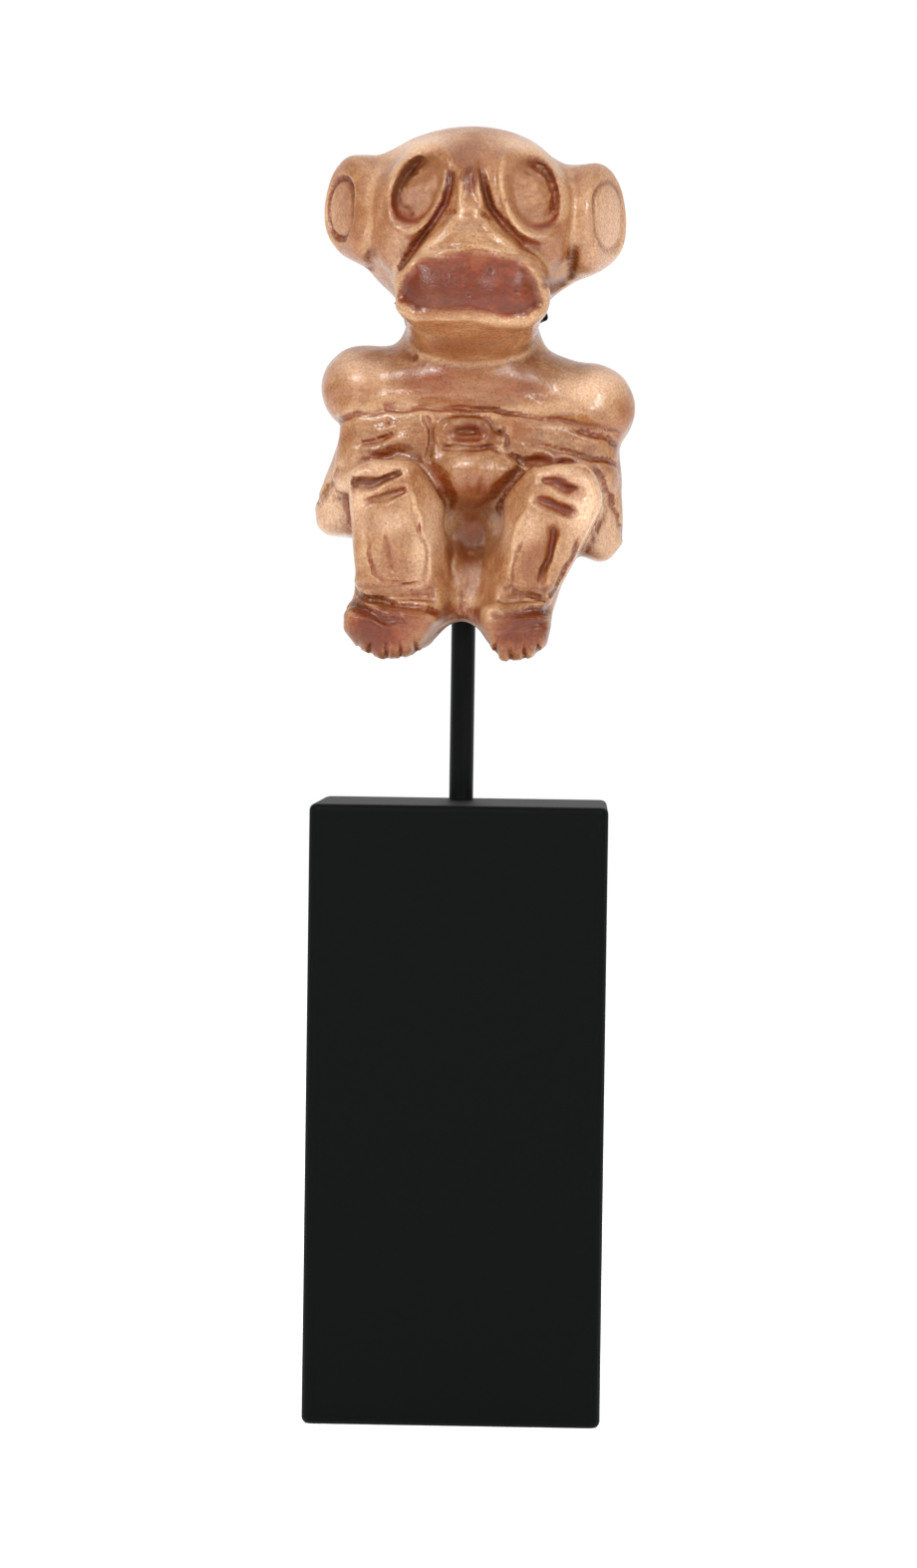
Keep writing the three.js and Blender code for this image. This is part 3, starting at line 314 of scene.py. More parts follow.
LEG_LINES = [
    ([(-14.6, 22.2), (-11.5, 22.7), (-7.9, 23.9)], (2.8, 1.3), 0.75, 0.45, 0.12, 0.1),
    ([(-14.4, 22.6), (-11.4, 23), (-7.9, 24.1)], (1.7, 0.9), 0.15, 1.4, 0.1, 0.15),
    ([(-14.2, 20), (-10.2, 20.7), (-6.9, 22)], (2.2, 1.2), 0.5, 0.3, 0.3, 0.12),
    ([(-12.6, 20.9), (-10.2, 21.2), (-6.9, 22.3)], 0.9, 0.1, 0.7, 0.3, 0.2),
    ([(9.7, 23.2), (12.7, 22.4), (16.3, 20.8)], (1.6, 3), 0.65, 0.45, 0.1, 0.2),
    ([(9.7, 23.5), (12.2, 23), (14.8, 21.8)], (1.1, 1.8), 0.2, 1.4, 0.1, 0.3),
    ([(8.4, 20.8), (11.4, 20), (15.2, 18.4)], (1.8, 2.8), 0.65, 0.45, 0.12, 0.15),
    ([(8.8, 20.8), (11.4, 20.2), (14.8, 18.8)], (1.1, 1.9), 0.2, 1.4, 0.2, 0.2),
    ([(-12.5, 18.2), (-12.2, 14.2), (-11.4, 11.4), (-10.2, 10), (-7.5, 9.8), (-5.1, 10), (-4.5, 11.8),
      (-4.8, 14.3), (-5.7, 16.9), (-6.8, 18.3)], 0.9, 0.25, 0.45, 0.12, 0.12),
    ([(-9.9, 17.1), (-9.6, 13.6), (-9, 10.4)], (0.8, 1.6), 0.3, 0.6, 0.2, 0.3),
    ([(-7.6, 15.5), (-7.2, 13), (-7, 11)], 1.2, 0.2, 0.3, 0.3, 0.3),
    ([(7.6, 16.4), (6.5, 12.3), (5.7, 9.1)], 0.9, 0.25, 0.6, 0.2, 0.12),
    ([(11.7, 17.6), (10.9, 13.8), (9.7, 9.2)], (2.2, 1.5), 0.65, 0.5, 0.08, 0.2),
    ([(11.8, 17.4), (11, 13.8), (9.8, 9.8)], (1.4, 0.9), 0.15, 1.45, 0.1, 0.3),
    ([(14.9, 16.4), (13.6, 13), (11.8, 9.6), (10.8, 8.4)], 0.8, 0.3, 0.8, 0.2, 0.12),
    ([(5.7, 9.1), (8, 8.5), (10.6, 8.2)], 0.7, 0.25, 0.6, 0.12, 0.12),
    ([(-14.6, 9.2), (-13.1, 8.1), (-9.5, 7.2), (-5.3, 6.3), (-2.8, 5.8)], 1.4, 0.5, 0.75, 0.12, 0.12),
    ([(-14.8, 7.4), (-12.6, 6.3), (-9.4, 5.1), (-5.6, 4.3)], (2.1, 1.5), 0.6, 1.5, 0.05, 0.2),
    ([(3.1, 5.7), (6.5, 6), (10.3, 6.5), (12.2, 6.9)], 1.8, 0.5, 1.4, 0.12, 0.12),
    ([(3.6, 4.1), (7.2, 4.4), (11.3, 5.1)], 1.2, 0.3, 0.9, 0.12, 0.12),
]
ELBOW_LINES = [
    ([(-15, 25.5), (-16.3, 24.2), (-17.7, 22.3), (-19.4, 20.2)], 1.6, 0.25, 0.3, 0.1, 0.02),
    ([(16.3, 26), (17.4, 23.9), (18.7, 21.1), (20.6, 16.5)], 1, 0.25, 0.3, 0.1, 0.02),
]
BACK_LINES = [
    ([(-0.4, 44), (-0.2, 32), (0, 20), (0, 7)], 3, 0.5, 0.47, 0.05, 0.05),
    ([(-4.2, 38), (-6.6, 35), (-5.4, 31.5)], 1.6, 0.31, 0.57, 0.3, 0.3),
    ([(5, 37.4), (7.6, 34.2), (6.4, 30.8)], 1.6, 0.31, 0.57, 0.3, 0.3),
    ([(-12.6, 31), (-12.9, 25), (-12.4, 18)], 1.8, 0.5, 0.57, 0.1, 0.1),
    ([(14.4, 30), (14.2, 24), (13.4, 17)], 1.8, 0.5, 0.57, 0.1, 0.1),
    ([(-9.4, 13), (-5, 10.8), (-0.6, 12.2), (4.6, 10.8), (9, 13)], 1.6, 0.31, 0.57, 0.2, 0.2),
]
THIGH_FOLD = [(-9.2, 21.2), (-7, 15.5), (-5.4, 9.2)]
BELLY = [(-3.4, 25.4), (1.1, 26.6), (6, 24.4), (1.2, 19.2)]
CROTCH_LINES = [
    ([(-7.3, 21.9), (-6.1, 20), (-5.4, 18.2), (-5.1, 16.3), (-4.8, 12)], 1, -0.22, 0, 0.2, 0.4),
    ([(9.6, 21.9), (7.2, 18.2), (6.3, 15.3), (5.9, 11)], 1, -0.22, 0, 0.2, 0.4),
    ([(-4.8, 25.6), (-2.6, 22.8), (-1.4, 19.5), (0, 17)], 2.4, 0.3, 0.2, 0.1, 0.2),
    ([(7.6, 25.2), (4.4, 22.2), (2, 19.4), (1.2, 17)], (1.8, 2.8), 0.45, 0.45, 0.05, 0.2),
    ([(-0.6, 24.6), (0.2, 22.4), (1, 19.8)], 1.6, 0.3, 0.5, 0.3, 0.3),
    ([(2.6, 24.6), (2.2, 22.6), (1.6, 20.6)], 1.2, 0.2, 0.4, 0.3, 0.3),
    ([(-1.6, 17), (-1.8, 13), (-1.4, 8.6)], 1.2, 0.25, 0.6, 0.2, 0.3),
    ([(2.6, 17.6), (2.6, 14), (2, 10.4)], 1.2, 0.25, 0.6, 0.2, 0.3),
    ([(0.6, 14), (0.3, 10), (0, 6)], 1.3, 0.2, 0.4, 0.3, 0.3),
]
TOE_GAPS = (-13.3, -11.7, -9.6, -7.8, -6, 4.4, 6.2, 8, 9.6)

# Where earth has stained the bone, with painted shade on the neck under the chin, seen from the front: (x,
# z), half sizes, lean and strength
STAINS_AND_SHADE = [
    ((0, 64.8), (2.6, 2.6), 0, 0.6),
    ((0, 67.2), (6, 1.6), 0, 0.22),
    ((-3.2, 65.2), (2.2, 1.2), 0, 0.25),
    ((3.4, 65.4), (2.2, 1.2), 0, 0.25),
    ((0.2, 61.9), (1.3, 2.8), 0, 0.85),
    ((-9.6, 59.4), (1.1, 5.4), 20, 0.4),
    ((11.2, 57), (1.1, 4.5), -10, 0.35),
    ((-8.2, 57.6), (2.2, 1.8), 30, 0.5),
    ((8, 57.4), (2.4, 1.6), -20, 0.35),
    ((0.6, 51.6), (6.6, 1), 0, 0.5),
    ((10.8, 48.4), (2.2, 1), 25, 0.75),
    ((-4.4, 46.2), (2.8, 0.9), 0, 1.1),
    ((5.8, 46.8), (2.2, 1.7), 0, 1.1),
    ((-6.6, 48), (1, 1.8), 10, 0.9),
    ((0.6, 35.6), (13, 3.8), 0, 0.55),
    # Painted shade on the neck under the chin
    ((0.6, 40.4), (8, 1.8), 0, 0.4),
    ((0.4, 29.2), (4.8, 2.6), 0, 0.8),
    ((6.5, 27.6), (2, 2.2), 0, 0.4),
    ((-4.8, 28), (1.6, 2.6), 0, 0.35),
    ((0.9, 15.5), (2.8, 5), 0, 0.85),
    ((1, 22), (4, 4), 0, 0.6),
    ((-9.4, 4.2), (6.4, 3.8), 0, 0.95),
    ((7, 4.4), (5.4, 3.6), 0, 0.98),
    ((-9.2, 2), (6, 2.6), 0, 0.6),
    ((7, 2.2), (5, 2.4), 0, 0.6),
    ((-8.6, 12.6), (2.8, 3.2), 0, 0.3),
    ((9.2, 12.6), (2.6, 4.2), 15, 0.42),
    ((0.4, 22.8), (3, 2.6), 0, 0.55),
]
# Small pits in the bone, as (x, z)
PITS = [(-6.6, 39.1), (-8, 58), (-7.3, 57), (11.2, 60.6), (10.8, 58.4), (-10.1, 30.7), (-9.3, 30.5),
        (0.9, 13.6), (-8.8, 55), (3, 49.6), (-1.8, 48.8), (6.4, 47), (0.4, 46.4)]
# Where handling has worn it pale, and where painted light brightens the elbows, shoulders and ears, given as
# the stains are
WORN_AND_LIT = [
    # Elbows: wear, with painted light
    ((-16.6, 19.4), (3.4, 5.6), 20, 1),
    ((16.6, 19), (3.2, 6.4), -20, 0.9),
    # Ears: wear, with painted light
    ((18.6, 56), (4, 8), 0, 0.7),
    ((-18.6, 57), (2, 7), 0, 0.5),
    ((-6.6, 66.6), (5.5, 1.8), -10, 0.8),
    ((7, 66.6), (5, 1.6), 10, 0.7),
    ((0.4, 43.2), (7.4, 1.5), 0, 0.15),
    # Shoulders: wear, with painted light
    ((-14.6, 38), (5, 3), 15, 0.6),
    ((16.6, 36), (5, 3), -15, 0.8),
    ((-10.6, 24.6), (3.2, 1.4), 0, 0.5),
    ((12.8, 24.4), (3.2, 1.3), 0, 0.55),
    ((-9, 17.6), (2.8, 2), 0, 0.5),
    ((8.4, 17), (1.6, 3), 15, 0.5),
    ((-4.6, 16), (2, 6), 8, 0.7),
    ((5.4, 17), (1.6, 5), -15, 0.5),
    ((-9.4, 53), (1.6, 3.4), 10, 0.35),
    ((0.2, 55.4), (2, 1), 0, 0.3),
    ((0, 25.8), (1.8, 0.8), 0, 0.4),
]


def waves(p, size, seed):
    """A still, even noise of about unit strength whose lumps are size millimetres across."""
    rng = np.random.default_rng(seed)
    total = np.zeros(len(p), np.float32)
    for _ in range(10):
        way = rng.normal(size=3)
        way *= rng.uniform(0.7, 1.4) * math.pi / (size * np.linalg.norm(way))
        total += np.sin(p @ way.astype(np.float32) + rng.uniform(0, 2 * math.pi))
    return total / math.sqrt(5)


def lines(u, v, drawn, where, mood):
    """Depth and redness of a set of cut lines, weighted by where they lie and a hand's uneven pressure."""
    depth = np.zeros(u.shape, np.float32)
    red = np.zeros(u.shape, np.float32)
    for points, width, deep, colour, fade, tail in drawn:
        t, strength = stroke(u, v, points, width, fade, tail)
        strength = strength * where * mood
        floor = np.clip(1 - t * t, 0, 1) ** 2
        depth += deep * strength * (floor - 0.08 * bell(t - 1.3, 0.5))
        red = np.maximum(red, colour * strength * np.clip(1 - t / 1.5, 0, 1) ** 1.2)
    return depth, red


def carving(p):
    """At each point: how deep the carving goes, how much red-brown earth its cuts hold, with painted shade on
    the outer walls of the eyes, and how stained the bone is, with painted shade under the chin and darker eye
    floors."""
    x, y, z = p[:, 0], p[:, 1], p[:, 2]
    mood = np.clip(1 + 0.2 * waves(p, 5, 11), 0.5, 1.4)
    front = soft(-y, 1, 3.5)
    face = front * soft(z, 38, 41)
    cut, earth_and_shade = lines(x, z, FACE_LINES, face, mood)
    stain_and_shade = np.zeros(len(p), np.float32)
    # Lines on the body are drawn where a hand would waver a little
    wx, wz = x + 0.12 * waves(p, 1.7, 41), z + 0.12 * waves(p, 1.7, 42)
    # Eyes: steep-walled hollows with a rough floor, inside raised rims
    for side in SIDES:
        e = oval(x, z, side["eye"], side["eye_half"], side["eye_lean"], 2.2)
        outward = side["s"] * (x - side["eye"][0])
        outer = soft(outward, -side["eye_half"][0], side["eye_half"][0])
        floor = 1 - soft(e, 0.7, 1.02)
        rough = 0.06 * waves(p, 0.9, 21) + 0.06 * waves(p, 0.5, 22)
        deep = side["eye_depth"][0] + side["eye_depth"][1] * outer
        cut += (deep * floor + rough * (1 - soft(e, 0.5, 0.75))) * face
        goggle = 0.5 * bell(e - 1.2, 0.13) * soft(0.6 * (side["eye"][1] - z) - outward, -3, 2)
        cut -= (goggle + 0.2 * bell(e - 1.2, 0.2)) * face
        # Painted shade: the outer walls of the eyes are darkened as if in shadow, laid in with the earth
        wall = bell(e - 0.9, 0.14) * (0.3 + 0.6 * outer)
        earth_and_shade = np.maximum(earth_and_shade, face * wall * mood)
        # The floors of the eyes are darkened a little
        stain_and_shade = np.maximum(stain_and_shade, face * 0.3 * (1 - soft(e, 0.85, 1.05)))
    # Nose: a ridge that widens downward
    nose_half = 1.7 + 0.18 * (63 - z)
    nose = soft(z, 55.4, 58) * (1 - soft(z, 61, 66))
    roof = np.clip(1 - np.abs(x - 0.1) / (nose_half + 0.5), 0, 1)
    cut -= 1.05 * nose * soft(roof, 0, 0.75) * face
    # Mouth: sunk, stained, and swelling over the teeth on either side, with a rim along its lower lip
    m = outline(x, z, MOUTH, 1.5)
    muzzle = face * soft(-y, 9, 13)
    below = 1 - soft(z, 48.4, 50.6)
    left_teeth = bell(np.hypot((x + 3.2) / 3.2, (z - 46.9) / 2.8), 1)
    right_teeth = bell(np.hypot((x - 4.4) / 3, (z - 46.6) / 2.7), 1)
    teeth = left_teeth + right_teeth
    pit = (1 - soft(m, -1.3, 0.15)) * (0.5 + 0.5 * below)
    cut += muzzle * (pit * (1.05 - 0.65 * teeth) - 0.35 * below * bell(m - 0.7, 0.5))
    mouth_stain = muzzle * (1 - soft(m, -1.2, 0.4)) * (0.96 + 0.18 * mood)
    stain_and_shade = np.maximum(stain_and_shade, mouth_stain * (1 - 0.3 * soft(z, 49.4, 51.4)))
    # Ears: a ring cut into each face
    for side in SIDES:
        across, out, up = spool_axes(p, side)
        outward = soft(-out, 1.5, 3.5) * soft(z, 42, 46)
        r = oval(across, up, *side["disc"], 2.3)
        cut += outward * side["disc_depth"] * (bell(r - 0.93, 0.1) + 0.4 * (1 - soft(r, 0.8, 0.95)))
        earth_and_shade = np.maximum(earth_and_shade, outward * bell(r - 0.93, 0.12) * side["disc_depth"] * 1.05 * mood)
    # Body, legs and back: drawn lines
    low = front * (1 - soft(z, 34, 36))
    shin = front * soft(-y, 8, 10.5)
    elbow = soft(-y, -3.5, -1.5) * (1 - soft(z, 29, 31))
    flank = soft(-x, 8, 12) + soft(x, 7, 10)
    drawn_on = [
        (SEAM_LINES, front), (BAND_LINES, low), (LEG_LINES, shin),
        (CROTCH_LINES, front), (ELBOW_LINES, elbow), (BACK_LINES, soft(y, 1, 3.5)),
    ]
    for drawn, where in drawn_on:
        depth, red = lines(wx, wz, drawn, where, mood)
        cut, earth_and_shade = cut + depth, np.maximum(earth_and_shade, red)
    depth, red = lines(y, z, [(THIGH_FOLD, 2, 0.9, 0.6, 0.2, 0.2)], flank, mood)
    cut, earth_and_shade = cut + depth, np.maximum(earth_and_shade, red)
    # Navel: a slot inside a raised ring
    navel = oval(x, z, (0, 29.4), (3.5, 1.9), 0, 2.8)
    slot = oval(x, z, (0.1, 29.6), (1.7, 0.5), 0, 2.6)
    raised = 0.7 * (1 - soft(slot, 0.5, 1.2)) - 0.5 * bell(navel - 0.78, 0.22)
    cut += low * (raised + 0.2 * bell(navel - 1.2, 0.14))
    in_navel = np.maximum(0.8 * (1 - soft(slot, 0.6, 1.5)), 0.5 * bell(navel - 1.18, 0.1))
    earth_and_shade = np.maximum(earth_and_shade, low * in_navel)
    # The swell of the belly, the valley between the legs and the ledge above each foot
    mound = front * (1 - soft(outline(wx, wz, BELLY, 0.8), -2.4, 0.8))
    cut -= mound * (0.6 + 0.08 * waves(p * vec(2, 1, 0.6), 1.6, 43))
    valley = bell(x - 0.9, 3.4) * front * soft(z, 4, 15) * (1 - soft(z, 17, 21))
    cut += 2.2 * valley
    cut += 0.45 * shin * soft(z, 5.5, 7) * (1 - soft(z, 9, 10.2)) * soft(np.abs(x - 0.6), 3.6, 5)
    # Toes and pits
    toes = (1 - soft(z, 1.4, 3.2)) * soft(-y, 5, 8)
    for gap in TOE_GAPS:
        notch = toes * (1 - np.clip(np.abs(x - gap) / 0.42, 0, 1) ** 2) ** 2
        cut += 0.42 * notch
        earth_and_shade = np.maximum(earth_and_shade, 0.6 * notch)
    for px, pz in PITS:
        hole = np.clip(1 - np.hypot(x - px, z - pz) / 0.38, 0, 1) * front
        cut += 0.5 * hole
        earth_and_shade = np.maximum(earth_and_shade, 1.5 * hole)
    for spot, half, lean, strength in STAINS_AND_SHADE:
        spread = 1 - soft(oval(x, z, spot, half, lean), 0.3, 1.35)
        stain_and_shade = np.maximum(stain_and_shade, front * strength * mood * spread)
    return cut, earth_and_shade, stain_and_shade


def figure(p):
    p = np.asarray(p, np.float32)
    return body(p) + carving(p)[0] + 0.05 * waves(p, 4.5, 3) + 0.02 * waves(p, 1.6, 5)


# The corners of a cell, the edges between them, and which sets of corners hang together, as bit masks
CORNERS = [(i, j, k) for i in (0, 1) for j in (0, 1) for k in (0, 1)]
EDGES = [(a, b) for a in range(8) for b in range(a + 1, 8) if (a ^ b) in (1, 2, 4)]


def connected(mask):
    seen = mask & -mask
    for _ in range(8):
        for a, b in EDGES:
            if mask >> a & 1 and mask >> b & 1 and (seen >> a | seen >> b) & 1:
                seen |= 1 << a | 1 << b
    return seen == mask


PLAIN = np.array([connected(m) and connected(255 - m) for m in range(256)])


def inside_masks(values):
    """For each cell, which of its corners are inside."""
    inside = (values < 0).astype(np.uint8)
    n = values.shape
    total = np.zeros([v - 1 for v in n], np.uint8)
    for bit, (i, j, k) in enumerate(CORNERS):
        total |= inside[i : n[0] - 1 + i, j : n[1] - 1 + j, k : n[2] - 1 + k] << bit
    return total


def sampled(form, place, n, cell, block):
    """A form's distance at every corner of the grid. Cells are taken in blocks, and a block away from the
    surface gets one value."""
    values = np.zeros(n, np.float32)
    coarse = np.stack(np.meshgrid(*[np.arange(0, v, block) for v in n], indexing="ij"), -1).reshape(-1, 3)
    rough = form(place(coarse + (block - 1) / 2))
    blocks = values.reshape(n[0] // block, block, n[1] // block, block, n[2] // block, block)
    blocks[:] = rough.reshape(n[0] // block, 1, n[1] // block, 1, n[2] // block, 1)
    near = coarse[np.abs(rough) < 2.5 + 2 * block * cell]
    inner = np.stack(np.meshgrid(*[np.arange(block)] * 3, indexing="ij"), -1).reshape(-1, 3)
    for part in np.array_split(near, max(1, len(near) // 4000)):
        at = (part[:, None] + inner[None]).reshape(-1, 3)
        values[at[:, 0], at[:, 1], at[:, 2]] = form(place(at))
    return values


def part_patches(values, off):
    """Fills the nearest outside corner wherever two patches of surface would touch at a point or an edge."""
    for _ in range(12):
        cells = np.argwhere(~PLAIN[inside_masks(values)])
        if not len(cells):
            break
        at = cells[:, None] + np.array(CORNERS)[None]
        around = values[at[..., 0], at[..., 1], at[..., 2]]
        nearest = at[np.arange(len(at)), np.where(around < 0, 1e9, around).argmin(1)]
        values[nearest[:, 0], nearest[:, 1], nearest[:, 2]] = -off


def patch_points(values, cells):
    """One point in each cell that the surface crosses, in grid steps: the middle of its cuts."""
    total, crossed = np.zeros((len(cells), 3)), np.zeros(len(cells))
    for a, b in EDGES:
        ca, cb = np.array(CORNERS[a]), np.array(CORNERS[b])
        va, vb = values[tuple((cells + ca).T)], values[tuple((cells + cb).T)]
        over = (va < 0) != (vb < 0)
        t = np.where(over, va / np.where(over, va - vb, 1), 0)
        total += np.where(over[:, None], ca + t[:, None] * (cb - ca), 0)
        crossed += over
    return cells + total / crossed[:, None]


def patch_quads(inside, ids):
    """A quad across every grid edge that the surface cuts, from the points of the four cells around it."""
    quads = []
    for axis in range(3):
        one = [slice(1, -1)] * 3
        one[axis] = slice(0, -1)
        two = list(one)
        two[axis] = slice(1, None)
        at = np.argwhere(inside[tuple(one)] != inside[tuple(two)])
        at += [0 if a == axis else 1 for a in range(3)]
        u, v = [np.eye(3, dtype=int)[a] for a in ((axis + 1) % 3, (axis + 2) % 3)]
        ring = [at - u - v, at - v, at, at - u]
        quad = np.stack([ids[tuple(r.T)] for r in ring], -1)
        flip = ~inside[tuple(at.T)]
        quad[flip] = quad[flip][:, ::-1]
        quads.append(quad)
    return np.concatenate(quads)


def figure_surface(form, low, high, cell, spread, block=4):
    """Points and quads of a form's surface. The cells widen from front to back by the factor spread,
    because the carving is on the front."""
    middle = vec((low[0] + high[0]) / 2, 0, (low[2] + high[2]) / 2)
    half = [(high[0] - low[0]) / 2, 0, (high[2] - low[2]) / 2]
    n = [int(2 * half[0] / cell), int((high[1] - low[1]) / cell), int(2 * half[2] / cell)]
    n = [block * (v // block + 1) for v in n]
    start = vec(-half[0], low[1], -half[2])

    def place(steps):
        q = start + steps * cell
        s = 1 + spread * (q[:, 1] - low[1])
        return np.stack([q[:, 0] * s, q[:, 1], q[:, 2] * s], -1).astype(np.float32) + middle

    values = sampled(form, place, n, cell, block)
    # Keeps the surface a little off the corners, so that no two points fall together
    off = 0.05 * cell
    values = np.where(np.abs(values) < off, np.copysign(off, values), values)
    part_patches(values, off)
    found = inside_masks(values)
    cells = np.argwhere((found > 0) & (found < 255))
    ids = np.full(found.shape, -1)
    ids[tuple(cells.T)] = np.arange(len(cells))
    return place(patch_points(values, cells)), patch_quads(values < 0, ids)


def slope(form, points, h=0.05):
    """How a form's distance changes along x, y and z at each point."""
    step = np.eye(3, dtype=np.float32) * h
    return np.stack([form(points + step[a]) - form(points - step[a]) for a in range(3)], -1) / (2 * h)


# The box that the figure is surfaced in, the size of the frontmost cells and how fast they widen to the back
FIGURE_LOW, FIGURE_HIGH = (-21, -19.5, -1), (23, 11.5, 71)
CELL, SPREAD = 0.31, 0.045
# How far a point may move at once as it settles on the surface
LONGEST_MOVE = 0.2
points, quads = figure_surface(figure, FIGURE_LOW, FIGURE_HIGH, CELL, SPREAD)
for _ in range(2):
    g = slope(figure, points)
    move = g * (figure(points) / np.maximum((g * g).sum(-1), 0.25))[:, None]
    points = points - move * np.minimum(1, LONGEST_MOVE / np.maximum(length(move), 1e-9))[:, None]
print("amulet:", len(points), "points,", 2 * len(quads), "triangles")


def new_piece(name, verts, faces):
    """A smooth-shaded mesh object from millimetre points."""
    mesh = bpy.data.meshes.new(name)
    mesh.from_pydata((np.asarray(verts) * MM).tolist(), [], [list(map(int, f)) for f in faces])
    mesh.validate()
    mesh.update()
    mesh.shade_smooth()
    piece = bpy.data.objects.new(name, mesh)
    bpy.context.scene.collection.objects.link(piece)
    return piece


amulet = new_piece("carved_amulet", points + vec(0, 0, FIGURE_Z), quads)
# What the carving leaves at each point of the surface, for the colours and the gloss. Hollows and ridges are
# found by looking outward and inward from the surface, these many millimetres away.
HOLLOW_REACHES = (0.7, 1.8, 4.0)
RIDGE_REACHES = (0.5, 1.4)
g = slope(figure, points)
normal = g / length(g)[:, None]
hollow = np.zeros(len(points))
for reach in HOLLOW_REACHES:
    hollow += np.clip(1 - figure(points + normal * reach) / reach, 0, 1) / len(HOLLOW_REACHES)
ridge = np.zeros(len(points))
for reach in RIDGE_REACHES:
    ridge += np.clip(1 + figure(points - normal * reach) / reach, 0, 1) / len(RIDGE_REACHES)
earth_and_shade, stain_and_shade = carving(points)[1:]
# Faces turned to the front and up, toward the lamps, count as lit, and the colour coats tint the others
# orange: painted light
lit_faces = soft(0.35 * normal[:, 2] - normal[:, 1], 0.4, 1)
px, pz = points[:, 0], points[:, 2]
in_front = soft(-points[:, 1], -6, 0)
# Pale where handled, with painted light on the elbows, shoulders and ears
worn_and_lit = np.zeros(len(points))
for spot, half, lean, strength in WORN_AND_LIT:
    worn_and_lit = np.maximum(worn_and_lit, in_front * strength * bell(oval(px, pz, spot, half, lean), 1.1))
dry = 0.7 * bell(px - 0.9, 3.4) * (1 - soft(pz, 17, 22)) + 0.5 * (1 - soft(pz, 3, 7))
dry = np.maximum(dry, 0.35 * (1 - soft(outline(px, pz, MOUTH, 1.5), -1, 0)))
for side in SIDES:
    e = oval(px, pz, side["eye"], side["eye_half"], side["eye_lean"], 2.2)
    dry = np.maximum(dry, 1 - soft(e, 0.75, 1.05))
marks = {
    "dry": dry, "cut_earth_and_shade": earth_and_shade, "stain_and_shade": stain_and_shade, "hollow": hollow,
    "ridge": ridge, "worn_and_lit": worn_and_lit, "lit_faces": lit_faces,
}
for name, value in marks.items():
    stored = amulet.data.attributes.new(name, "FLOAT", "POINT")
    stored.data.foreach_set("value", value.astype(np.float32))


def linear(hex_colour):
    """An sRGB hex colour as the linear colour that the shaders take."""
    channels = [int(hex_colour[i : i + 2], 16) / 255 for i in (1, 3, 5)]
    return tuple(c / 12.92 if c <= 0.04045 else ((c + 0.055) / 1.055) ** 2.4 for c in channels) + (1.0,)


def node(owner, kind, sockets=(), **settings):
    """A shader node of a material or the world. Each input is given a value or what feeds it: an output, or a
    node, which stands for its first output in use."""
    made = owner.node_tree.nodes.new(kind)
    for key, value in settings.items():
        setattr(made, key, value)
    for name, value in dict(sockets).items():
        if isinstance(value, bpy.types.Node):
            value = next(output for output in value.outputs if output.enabled)
        if isinstance(value, bpy.types.NodeSocket):
            owner.node_tree.links.new(value, made.inputs[name])
        else:
            made.inputs[name].default_value = value
    return made


def new_material(name):
    material = bpy.data.materials.new(name)
    material.use_nodes = True
    material.node_tree.nodes.clear()
    return material


def per_metre(millimetres):
    """How many lumps of that size go into a metre, which is what a pattern's scale is."""
    return 1 / (millimetres * MM)


# Old bone, ground smooth and polished by handling. That gives a waxy gloss that light enters a little way,
# pale tan high spots, salmon between them, red-brown earth in the cuts and a streaky grain with open pores.
# Some of this colour is painted light and shade: a tint by how faces turn, paler elbows, shoulders and ears,
# darker eye walls and neck under the chin.
bone = new_material("handled bone")
surface = node(bone, "ShaderNodeTexCoord").outputs["Object"]
mark = {
    name: node(bone, "ShaderNodeAttribute", attribute_name=name).outputs["Fac"]
    for name in marks
}

# Millimetres. The clouds and the mottling are about as large as in the photograph. Pores and fibres in
# bone are under a tenth of a millimetre across, too fine to show, so they are drawn as coarse as they need
# to show.
CLOUD, MOTTLE = 9, 2.2
PORE, SPECK = 0.3, 0.28
FIBRE_WIDTH = 0.45
FIBRE_LENGTH = FIBRE_WIDTH / 0.22
cloud = node(
    bone, "ShaderNodeTexNoise",
    {"Vector": surface, "Scale": per_metre(CLOUD), "Detail": 4, "Roughness": 0.55},
)
mottle = node(
    bone, "ShaderNodeTexNoise",
    {"Vector": surface, "Scale": per_metre(MOTTLE), "Detail": 5, "Roughness": 0.6},
)
pores = node(
    bone, "ShaderNodeTexNoise",
    {"Vector": surface, "Scale": per_metre(PORE), "Detail": 3, "Roughness": 0.6},
)
specks = node(
    bone, "ShaderNodeTexNoise",
    {"Vector": surface, "Scale": per_metre(SPECK), "Detail": 2, "Roughness": 0.6},
)

# The fibres run across the head and the body, and turn to run down the shins below the knees
KNEE_TOP, KNEE = 24, 19
fibre_runs = []
# Their length lies along x for the first and along z for the second
for longest in (0, 2):
    sizes = [FIBRE_LENGTH if axis == longest else FIBRE_WIDTH for axis in range(3)]
    along = node(
        bone, "ShaderNodeMapping",
        {"Vector": surface, "Scale": [per_metre(size) for size in sizes]},
    )
    fibre_runs.append(
        node(bone, "ShaderNodeTexNoise", {"Vector": along, "Scale": 1, "Detail": 4, "Roughness": 0.6})
    )
height = node(bone, "ShaderNodeSeparateXYZ", {"Vector": surface}).outputs["Z"]
on_legs = node(
    bone, "ShaderNodeMapRange",
    {"Value": height, "From Min": (FIGURE_Z + KNEE_TOP) * MM, "From Max": (FIGURE_Z + KNEE) * MM},
    interpolation_type="SMOOTHSTEP",
)
streaks = node(bone, "ShaderNodeMix", {"Factor": on_legs, "A": fibre_runs[0], "B": fibre_runs[1]})

